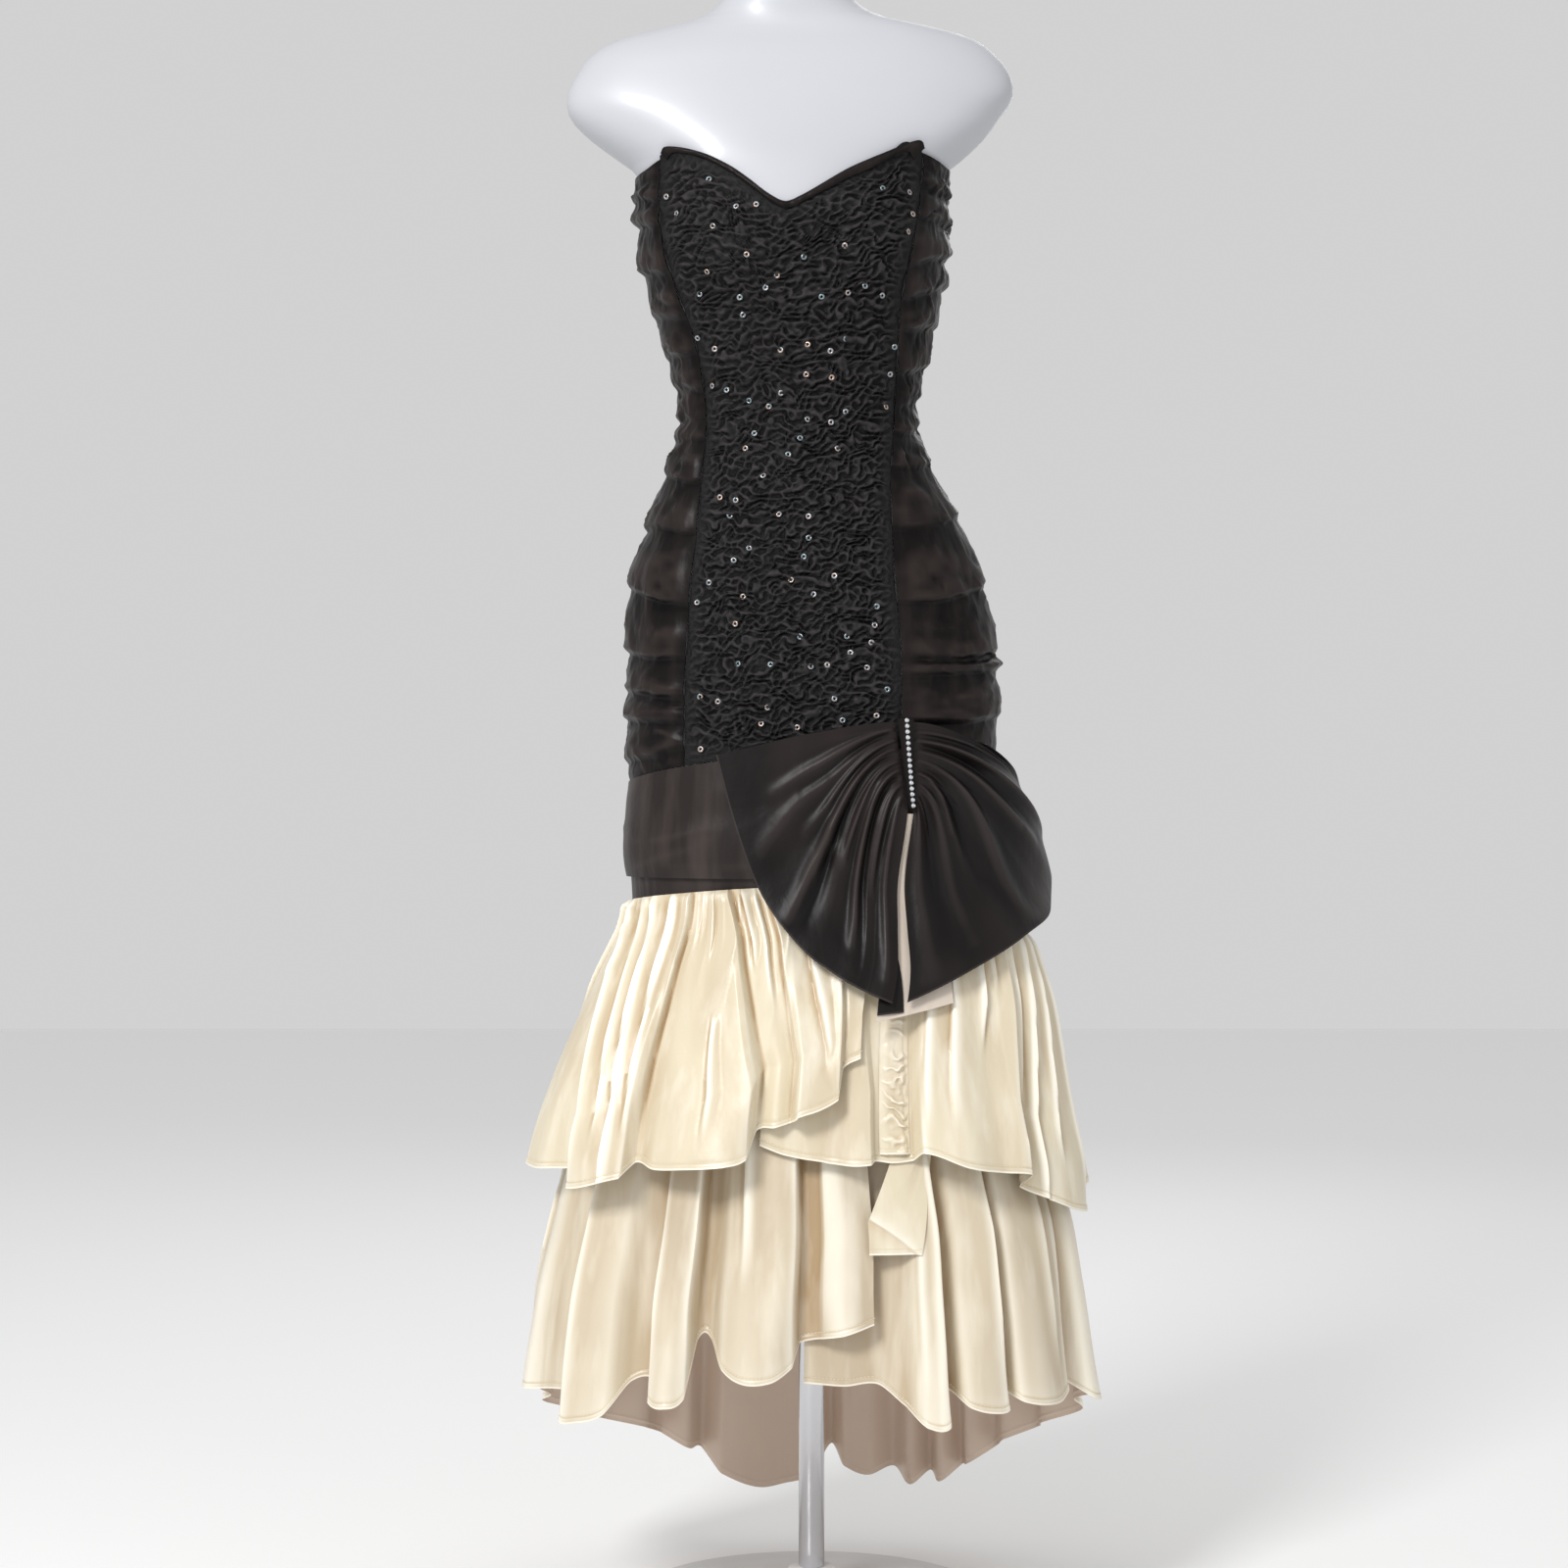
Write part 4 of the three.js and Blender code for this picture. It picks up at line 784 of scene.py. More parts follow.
@dataclass(frozen=True)
class Crinkle:
    """Matte crinkled cloth with a fine blistered surface."""

    name: str = "black_crinkle"
    slot: str = "black_crinkle"
    colour: Triple = (0.0018, 0.0016, 0.0018)
    # colour of the painted highlight on the puckers' crests
    crest_highlight: Triple = (0.034, 0.031, 0.031)

    def make(self) -> bpy.types.Material:
        """Builds the material, with a painted highlight where the cloth is puckered up.

        Returns:
            The material.
        """
        surface = Surface(self.name, self.colour, Roughness=0.62, Specular_IOR_Level=0.16)
        patchy = surface.noise(110, 4, (1, 1, 1.6)) * 1.7 - 0.35
        lift = surface.lift()
        # painted highlight on the puckers' crests, patchy at random
        colour = surface.mix(lift * lift * (patchy + 0.45), self.colour, self.crest_highlight)
        surface.paint(colour, patchy * 0.3 + 0.45)
        surface.emboss((1500, 2, 1, 0.5, 0.0003), (330, 3, 1.8, 0.7, 0.0016))
        return surface.material


@dataclass(frozen=True)
class Glazed:
    """A hard smooth finish, such as moulded plastic, enamel or plated steel."""

    name: str
    slot: str
    colour: Triple
    roughness: float
    metallic: float = 0.0
    coat: float = 0.0
    speckle: float = 0.0

    def make(self) -> bpy.types.Material:
        """Builds the material, with faint wear.

        Returns:
            The material.
        """
        surface = Surface(self.name, self.colour, Roughness=self.roughness, Metallic=self.metallic,
                          Coat_Weight=self.coat, Coat_Roughness=0.12)
        wear = surface.noise(9, 4)
        darker = tuple(0.93 * channel for channel in self.colour)
        surface.paint(surface.mix(wear, self.colour, darker), wear * 0.12 + (self.roughness - 0.06))
        surface.emboss((38, 2, 1, 0.12, 0.0005 + self.speckle))
        return surface.material


@dataclass(frozen=True)
class Foil:
    """Thin dark film whose colour drifts from smoky blue to bronze, as on sequins."""

    name: str = "sequin_film"
    slot: str = "black_crinkle"
    colour: Triple = (0.3, 0.3, 0.31)
    drift: tuple[tuple[float, Triple], ...] = (
        (0.35, (0.2, 0.26, 0.28)), (0.5, (0.38, 0.37, 0.39)), (0.68, (0.4, 0.3, 0.25)),
    )

    def make(self) -> bpy.types.Material:
        """Builds the material.

        Returns:
            The material.
        """
        surface = Surface(self.name, self.colour, Roughness=0.3, Metallic=0.7, Coat_Weight=0.6)
        ramp = surface.add("ValToRGB", {"stops": self.drift}, Fac=surface.noise(120, 0))
        surface.paint(ramp.outputs[0])
        return surface.material


@dataclass(frozen=True)
class Crystal:
    """Clear foiled stone."""

    name: str = "clear_stone"
    slot: str = "black_satin"
    colour: Triple = (0.86, 0.87, 0.9)
    warm: Triple = (0.55, 0.56, 0.6)
    cool: Triple = (0.95, 0.97, 1.0)

    def make(self) -> bpy.types.Material:
        """Builds the material.

        Returns:
            The material.
        """
        surface = Surface(self.name, self.colour, Roughness=0.06, Metallic=0.55, Coat_Weight=1.0,
                          Coat_Roughness=0.03)
        surface.paint(surface.mix(surface.noise(900, 0), self.warm, self.cool))
        return surface.material


# Of each satin below, the hollow colour is painted shade, the crest colour a painted highlight, the hem
# colour a painted highlight on the edge, and the clouds partly random tone and partly painted sheen.
BLACK_SATIN = Satin(
    "black_satin", "black_satin", (0.0042, 0.0032, 0.0031), (0.0085, 0.0062, 0.0058), 0.34, 0.0, 0.11,
    hollow_shade=(0.0006, 0.0005, 0.0005), crest=(0.024, 0.0178, 0.0165), patches=15, painted_gleams=0.55,
)
# A lighter copy of the black satin for the bow: painted sheen, with a painted highlight on its free
# edges
LIT_BOW_SATIN = Satin(
    "bow_satin_lit", "black_satin", (0.0064, 0.0050, 0.0048), (0.0180, 0.0130, 0.0120), 0.38, 0.01, 0.17,
    hollow_shade=(0.0010, 0.0008, 0.0008), crest=(0.034, 0.027, 0.0255), hem=(0.038, 0.031, 0.029),
    patches=11,
)
# A lighter, browner copy of the black satin for the hip band: painted sheen
LIT_BAND_SATIN = Satin(
    "band_satin_lit", "black_satin", (0.0180, 0.0132, 0.0120), (0.0430, 0.0325, 0.0295), 0.38, 0.01, 0.2,
    hollow_shade=(0.0060, 0.0045, 0.0042), crest=(0.058, 0.0445, 0.040), patches=15, painted_gleams=0.5,
)
IVORY_SATIN = Satin(
    "ivory_satin", "ivory_satin", (0.70, 0.62, 0.46), (0.60, 0.505, 0.36), 0.33, 0.03, 0.5,
    hollow_shade=(0.46, 0.32, 0.175), crest=(0.93, 0.885, 0.77), hem=(0.93, 0.89, 0.78),
    reverse=(0.74, 0.61, 0.50), patches=15, stretch=0.22, painted_gleams=0.36,
)
# A darker copy of the ivory satin for the lower tiers, whose darkness is painted shade
SHADED_IVORY_SATIN = Satin(
    "ivory_satin_shaded", "ivory_satin", (0.61, 0.52, 0.38), (0.51, 0.42, 0.30), 0.33, 0.03, 0.5,
    hollow_shade=(0.40, 0.275, 0.15), crest=(0.87, 0.815, 0.69), hem=(0.90, 0.855, 0.74),
    reverse=(0.70, 0.56, 0.45), patches=15, stretch=0.22, painted_gleams=0.36,
)
# The underlay's pale cloth, its colour darkened for the shade in the slit between the wings: partly its
# own colour, partly painted shade
SHADED_PALE_CLOTH = Satin(
    "pale_cloth", "pale_cloth", (0.63, 0.55, 0.47), (0.55, 0.47, 0.395), 0.4, 0.05, 0.4,
)
BLACK_THREAD = Satin(
    "black_thread", "black_satin", (0.012, 0.01, 0.01), (0.02, 0.016, 0.015), 0.5, 0.3, 0.4,
)
IVORY_THREAD = Satin(
    "ivory_thread", "ivory_satin", (0.8, 0.72, 0.55), (0.75, 0.65, 0.45), 0.55, 0.3, 0.3,
)
CRINKLE = Crinkle()
PLASTIC = Glazed("white_plastic", "white_plastic", (0.50, 0.51, 0.545), 0.42, coat=0.1)
STEEL = Glazed("pole_steel", "pole_steel", (0.66, 0.66, 0.68), 0.2, metallic=1.0)
ENAMEL = Glazed("base_enamel", "base_enamel", (0.78, 0.78, 0.78), 0.34, coat=0.2, speckle=0.0004)
SEQUIN = Foil()
STONE = Crystal()
Finish = Satin | Crinkle | Glazed | Foil | Crystal


class Wardrobe:
    """The materials, each made once."""

    made: dict[str, bpy.types.Material] = {}

    @classmethod
    def material(cls, finish: Finish) -> bpy.types.Material:
        """The material of a finish.

        Args:
            finish: the finish.

        Returns:
            The material, made at its first use.
        """
        if finish.name not in cls.made:
            cls.made[finish.name] = finish.make()
        return cls.made[finish.name]


# Meshes


class Backing(Enum):
    """What a sheet has behind its face."""

    WALL = "a second face, so that it is a closed wall"
    TURNED = "only its turned edges, because something lies close behind it"


def grid_normals(points: Array, is_ring: bool) -> Array:
    """The outward normals of a grid of points.

    Args:
        points: the grid, across by down.
        is_ring: whether the grid closes on itself across.

    Returns:
        A unit vector for each point.
    """
    if is_ring:
        across = np.roll(points, -1, axis=0) - np.roll(points, 1, axis=0)
    else:
        across = np.gradient(points, axis=0)
    normal = np.cross(np.gradient(points, axis=1), across)
    return normal / np.maximum(np.linalg.norm(normal, axis=-1, keepdims=True), 1e-9)


def averaged(points: Array, axis: int, reach: float, is_ring: bool) -> Array:
    """The mean place of the points round each point of a grid, along one axis.

    Args:
        points: the grid, across by down.
        axis: 0 for across, 1 for down.
        reach: how far the mean goes to each side, in millimetres.
        is_ring: whether the grid closes on itself along the axis.

    Returns:
        The grid of means.
    """
    step = np.median(np.linalg.norm(np.diff(points, axis=axis), axis=-1))
    half = max(1, int(reach / step))
    margins = [(0, 0), (0, 0), (0, 0)]
    margins[axis] = (half + 1, half)
    total = np.cumsum(np.pad(points, margins, mode="wrap" if is_ring else "edge"), axis=axis)
    first = np.arange(points.shape[axis])
    count = 2 * half + 1
    return (np.take(total, first + count, axis) - np.take(total, first, axis)) / count


@dataclass
class Sheet:
    """A piece of cloth as a grid of points, across by down, in millimetres."""

    name: str
    points: Array
    finish: Finish
    thickness: float = 1.0
    backing: Backing = Backing.WALL
    is_ring: bool = False
    # reach and depth shape the lift attribute, from which the materials paint shade into hollows and
    # highlights onto crests
    reach: float = 12.0
    depth: float = 5.0

    def _faces(self, across: int, down: int) -> Array:
        """The corner numbers of each face of the wall.

        Args:
            across: points across.
            down: points down.

        Returns:
            An array with four numbers for each face.
        """
        columns = across if self.is_ring else across - 1
        i, j = np.meshgrid(np.arange(columns), np.arange(down - 1), indexing="ij")
        near, far = i * down + j, ((i + 1) % across) * down + j
        back = across * down
        made = [np.stack([near, near + 1, far + 1, far], -1).reshape(-1, 4)]
        if self.backing is Backing.WALL:
            made.append(np.stack([near, far, far + 1, near + 1], -1).reshape(-1, 4) + back)
        c = np.arange(columns)
        top, top_next = c * down, ((c + 1) % across) * down
        low, low_next = top + down - 1, top_next + down - 1
        made.append(np.stack([top, top_next, top_next + back, top + back], -1))
        made.append(np.stack([low, low + back, low_next + back, low_next], -1))
        if not self.is_ring:
            r = np.arange(down - 1)
            end = (across - 1) * down + r
            made.append(np.stack([r, r + back, r + 1 + back, r + 1], -1))
            made.append(np.stack([end, end + 1, end + 1 + back, end + back], -1))
        return np.concatenate(made)

    def _cloth_place(self) -> Array:
        """Metres across the sheet and metres above its lower edge, for each point.

        Returns:
            Pairs, across by down.
        """
        steps = np.linalg.norm(np.diff(self.points, axis=0, append=self.points[-1:]), axis=-1)
        across = np.cumsum(steps, axis=0) - steps
        drops = np.linalg.norm(np.diff(self.points, axis=1), axis=-1)
        below = np.zeros(self.points.shape[:2])
        below[:, :-1] = np.cumsum(drops[:, ::-1], axis=1)[:, ::-1]
        return np.stack([across, below], -1) * MM

    def _lift(self) -> Array:
        """How far each point stands above the cloth round it: 0.5 where level with it, 1 on a crest.

        Returns:
            Heights from 0 to 1, across by down.
        """
        around = averaged(averaged(self.points, 0, self.reach, self.is_ring), 1, self.reach, False)
        above = np.sum((self.points - around) * grid_normals(around, self.is_ring), axis=-1)
        return np.clip(0.5 + above / self.depth, 0, 1)

    def area(self) -> float:
        """The area of the outer face.

        Returns:
            Square metres.
        """
        down = np.diff(self.points, axis=1)[:-1]
        across = np.diff(self.points, axis=0)[:, :-1]
        return float(np.linalg.norm(np.cross(down, across), axis=-1).sum()) * MM * MM

    def sew(self, *nodes: str) -> Piece:
        """Builds the sheet and ties it to the part.

        Args:
            nodes: the solids that it stands for.

        Returns:
            The piece.
        """
        return seat(self.build(), self.finish, *nodes)

    def build(self) -> Piece:
        """Makes the mesh object.

        Returns:
            The object, with its material and a UV map in metres.
        """
        across, down = self.points.shape[:2]
        LOG.info("%s: %.4f square metres", self.name, self.area())
        inner = self.points - self.thickness * grid_normals(self.points, self.is_ring)
        vertices = np.concatenate([self.points.reshape(-1, 3), inner.reshape(-1, 3)]) * MM
        face_place = self._cloth_place().reshape(-1, 2)
        place = np.concatenate([face_place, face_place + (REVERSE_SHIFT, 0)])
        faces = self._faces(across, down)
        used = np.unique(faces)
        renumber = np.zeros(len(vertices), dtype=int)
        renumber[used] = np.arange(len(used))
        made = build_mesh(self.name, vertices[used], renumber[faces], place[used], self.finish)
        # the lift attribute, which the materials turn into painted shade and painted highlights
        lift = np.tile(self._lift().ravel(), 2)[used]
        layer = made.data.attributes.new("lift", "FLOAT", "POINT")
        layer.data.foreach_set("value", lift.astype(np.float32))
        return made


def build_mesh(name: str, vertices: Array, faces: Array, uv: Array | None, finish: Finish) -> Piece:
    """Makes a smooth-shaded object from four-cornered faces.

    Args:
        name: the object's name.
        vertices: points in metres.
        faces: four corner numbers for each face.
        uv: the cloth place of each point, or None.
        finish: the finish of the object.

    Returns:
        The object, linked to the scene.
    """
    mesh = bpy.data.meshes.new(name)
    mesh.vertices.add(len(vertices))
    mesh.vertices.foreach_set("co", vertices.astype(np.float32).ravel())
    mesh.loops.add(faces.size)
    mesh.loops.foreach_set("vertex_index", faces.astype(np.int32).ravel())
    mesh.polygons.add(len(faces))
    mesh.polygons.foreach_set("loop_start", np.arange(0, faces.size, 4, dtype=np.int32))
    mesh.polygons.foreach_set("use_smooth", np.ones(len(faces), dtype=bool))
    mesh.update(calc_edges=True)
    if uv is not None:
        layer = mesh.uv_layers.new(name="cloth")
        layer.data.foreach_set("uv", uv[faces.ravel()].astype(np.float32).ravel())
    mesh.validate()
    mesh.set_sharp_from_angle(angle=math.radians(SHARP_ANGLE))
    made = bpy.data.objects.new(name, mesh)
    bpy.context.collection.objects.link(made)
    mesh.materials.append(Wardrobe.material(finish))
    return made


def seat(made: Piece, finish: Finish, *nodes: str) -> Piece:
    """Ties a piece to the part.

    Args:
        made: the piece.
        finish: its finish; not used.
        nodes: the solids that it stands for.

    Returns:
        The piece.
    """
    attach(made, BODY)
    if nodes:
        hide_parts(*nodes)
    LOG.info("%s: %d faces", made.name, len(made.data.polygons))
    return made


def revolve(name: str, rings: Array, finish: Finish) -> Piece:
    """Makes a closed body from rings of points, with a flat cap at each end.

    Args:
        name: the object's name.
        rings: points in metres, ring by ring from the bottom, each anticlockwise from above.
        finish: the finish of the object.

    Returns:
        The object.
    """
    count, sides = rings.shape[:2]
    middle = [rings[0].mean(axis=0), rings[-1].mean(axis=0)]
    low = middle[0] + (rings[0] - middle[0]) * CAP_HOLE
    high = middle[1] + (rings[-1] - middle[1]) * CAP_HOLE
    vertices = np.concatenate([low, rings.reshape(-1, 3), high])
    r, s = np.meshgrid(np.arange(count + 1), np.arange(sides), indexing="ij")
    here, after = r * sides + s, r * sides + (s + 1) % sides
    faces = np.stack([here, after, after + sides, here + sides], -1).reshape(-1, 4)
    made = build_mesh(name, vertices, faces, None, finish)
    close_ends(made)
    return made


def close_ends(made: Piece) -> None:
    """Fills the small holes in the middle of a revolved body's caps.

    Args:
        made: the body.
    """
    shape = bmesh.new()
    shape.from_mesh(made.data)
    bmesh.ops.holes_fill(shape, edges=[edge for edge in shape.edges if edge.is_boundary], sides=0)
    bmesh.ops.recalc_face_normals(shape, faces=shape.faces)
    shape.to_mesh(made.data)
    shape.free()


# Rules for what repeats


class Rule:
    """A Geometry Nodes tree with named inputs, used once on a piece and then made plain mesh."""

    def __init__(self, name: str, **sizes: float) -> None:
        """Starts the tree.

        Args:
            name: the tree's name.
            sizes: its named inputs, spaces written as underscores, with their values.
        """
        self.tree = bpy.data.node_groups.new(name, "GeometryNodeTree")
        face = self.tree.interface
        face.new_socket("Geometry", in_out="INPUT", socket_type="NodeSocketGeometry")
        self.identifiers = {}
        for key, value in sizes.items():
            kind = "NodeSocketInt" if isinstance(value, int) else "NodeSocketFloat"
            socket = face.new_socket(key.replace("_", " "), in_out="INPUT", socket_type=kind)
            self.identifiers[key] = (socket.identifier, value)
        face.new_socket("Geometry", in_out="OUTPUT", socket_type="NodeSocketGeometry")
        self.start = self.tree.nodes.new("NodeGroupInput")
        self.end = self.tree.nodes.new("NodeGroupOutput")

    def size(self, key: str) -> Socket:
        """The socket of a named input."""
        return self.start.outputs[key.replace("_", " ")]

    def add(self, kind: str, settings: Settings = None, **sockets: object) -> bpy.types.Node:
        """Adds a node.

        Args:
            kind: the node's full type.
            settings: properties of the node.
            sockets: values or links of its inputs, spaces written as underscores.

        Returns:
            The node.
        """
        node = self.tree.nodes.new(kind)
        for name, value in (settings or {}).items():
            setattr(node, name, value)
        for name, value in sockets.items():
            entry = next(s for s in node.inputs if s.name == name.replace("_", " ") and s.enabled)
            if isinstance(value, Socket):
                self.tree.links.new(value, entry)
            else:
                entry.default_value = value
        return node

    def along(self, spacing: str) -> Socket:
        """Points along the base's line.

        Args:
            spacing: the named input with the distance between them.

        Returns:
            The points.
        """
        curve = self.add("GeometryNodeMeshToCurve", None, Mesh=self.start.outputs[0])
        steps = self.add("GeometryNodeResampleCurve", {"mode": "LENGTH"}, Curve=curve.outputs[0],
                         Length=self.size(spacing))
        return steps.outputs[0]

    def facing(self, direction: Socket) -> Socket:
        """The rotation that turns the z axis to a direction."""
        return self.add("FunctionNodeAlignRotationToVector", {"axis": "Z"}, Vector=direction).outputs[0]

    def repeat(self, points: Socket, shape: bpy.types.Node, turn: Socket, finish: Finish) -> None:
        """Ends the tree in real meshes, one on each point.

        Args:
            points: where they stand.
            shape: the node that makes one of them.
            turn: how each is turned.
            finish: their finish.
        """
        placed = self.add("GeometryNodeInstanceOnPoints", None, Points=points,
                          Instance=shape.outputs[0], Rotation=turn)
        real = self.add("GeometryNodeRealizeInstances", None, Geometry=placed.outputs[0])
        painted = self.add("GeometryNodeSetMaterial", None, Geometry=real.outputs[0],
                           Material=Wardrobe.material(finish))
        self.tree.links.new(painted.outputs[0], self.end.inputs[0])

    def apply(self, base: Piece, name: str, finish: Finish) -> Piece:
        """Runs the tree on a base object and keeps the result instead of it.

        Args:
            base: the object that carries the path or the surface; it is removed.
            name: the name of the new piece.
            finish: the new piece's finish.

        Returns:
            The new piece, a plain mesh tied to the part.
        """
        modifier = base.modifiers.new("rule", "NODES")
        modifier.node_group = self.tree
        for identifier, value in self.identifiers.values():
            modifier[identifier] = value
        graph = bpy.context.evaluated_depsgraph_get()
        mesh = bpy.data.meshes.new_from_object(base.evaluated_get(graph))
        base.modifiers.clear()
        bpy.data.objects.remove(base)
        mesh.name = name
        mesh.materials.clear()
        mesh.materials.append(Wardrobe.material(finish))
        made = bpy.data.objects.new(name, mesh)
        bpy.context.collection.objects.link(made)
        return seat(made, finish)


def path_object(name: str, points: Array) -> Piece:
    """An object that is only a line through points, given in millimetres.

    Args:
        name: the object's name.
        points: the line, in millimetres.

    Returns:
        The object, linked to the scene.
    """
    mesh = bpy.data.meshes.new(name)
    mesh.from_pydata((points * MM).tolist(), [(i, i + 1) for i in range(len(points) - 1)], [])
    made = bpy.data.objects.new(name, mesh)
    bpy.context.collection.objects.link(made)
    return made


def stitch_row(name: str, points: Array, finish: Finish, spacing: float = 3.4) -> Piece:
    """A row of machine stitches along a path.

    Args:
        name: the piece's name.
        points: the path, in millimetres, on the cloth's face.
        finish: the thread's finish.
        spacing: from one stitch to the next, in millimetres.

    Returns:
        The piece, tied to the part.
    """
    rule = Rule(name, Spacing=spacing * MM, Stitch_Radius=0.28 * MM, Stitch_Length=0.0024)
    thread = rule.add("GeometryNodeMeshCylinder", None, Vertices=5, Radius=rule.size("Stitch_Radius"),
                      Depth=rule.size("Stitch_Length"))
    tangent = rule.add("GeometryNodeInputTangent")
    rule.repeat(rule.along("Spacing"), thread, rule.facing(tangent.outputs[0]), finish)
    return rule.apply(path_object(name, points), name, finish)


# Sub-assemblies


def grid_places(across: int, down: int) -> tuple[Array, Array]:
    """The shares across and down of a grid's points."""
    return np.meshgrid(np.linspace(0, 1, across + 1), np.linspace(0, 1, down + 1), indexing="ij")


@dataclass
class DressForm:
    """The bare form, on a pole with a round base."""

    foot: float = 700.0
    head: float = 1562.0
    inset: float = 1.2
    grip: float = 0.6
    grip_height: float = 1285.0
    grip_tall: float = 45.0
    cup_inset: float = 0.1
    sides: int = 96
    rings: int = 120
    pole_radius: float = 12.0
    pole_foot: float = 34.3
    pole_bevel: float = 0.8
    pole_ring: float = 360.0
    base_profile: tuple[Pair, ...] = (
        (166.5, 0), (168.6, 0.7), (170, 3), (168.6, 6.6), (166, 8), (120, 8.5), (60, 9.2), (29, 10),
        (25.5, 11.6), (24, 14), (22.6, 24), (21.3, 32.6), (20.4, 34),
    )

    def torso(self) -> None:
        """Builds the moulded torso, neck and hips in one."""
        z = np.linspace(self.foot, self.head, self.rings + 1)
        angle = np.linspace(-180, 180, self.sides + 1)[:-1]
        height, around = np.meshgrid(z, angle, indexing="ij")
        swell = np.exp(-(((height - self.grip_height) / self.grip_tall) ** 2))
        out = (self.inset + self.grip) * swell - self.inset - self.cup_inset * cup(around, height)
        seat(revolve("form_shell", figure(around, height, out) * MM, PLASTIC), PLASTIC, "form_torso")

    def _turned(self, name: str, profile: Array, finish: Finish, node: str) -> None:
        """A body turned round the pole's axis, from (radius, height) pairs.

        Args:
            name: the body's name.
            profile: radius and height pairs, from the bottom.
            finish: its finish.
            node: the solid that it stands for.
        """
        angle = np.radians(np.linspace(0, 360, self.sides + 1)[:-1])
        radius, height = profile[:, :1], profile[:, 1:]
        rings = np.stack([radius * np.sin(angle), -radius * np.cos(angle), height + 0 * angle], -1)
        seat(revolve(name, rings * MM, finish), finish, node)

    def build(self) -> None:
        """Builds the form and its stand."""
        self.torso()
        r, b, low, high = self.pole_radius, self.pole_bevel, self.pole_foot, self.foot - SEAM_GAP
        pole = [(r - b, low), (r, low + b), (r, self.pole_ring), (r, high - b), (r - b, high)]
        self._turned("pole_tube", np.array(pole), STEEL, "stand_pole")
        self._turned("base_disc", np.array(self.base_profile), ENAMEL, "stand_base")


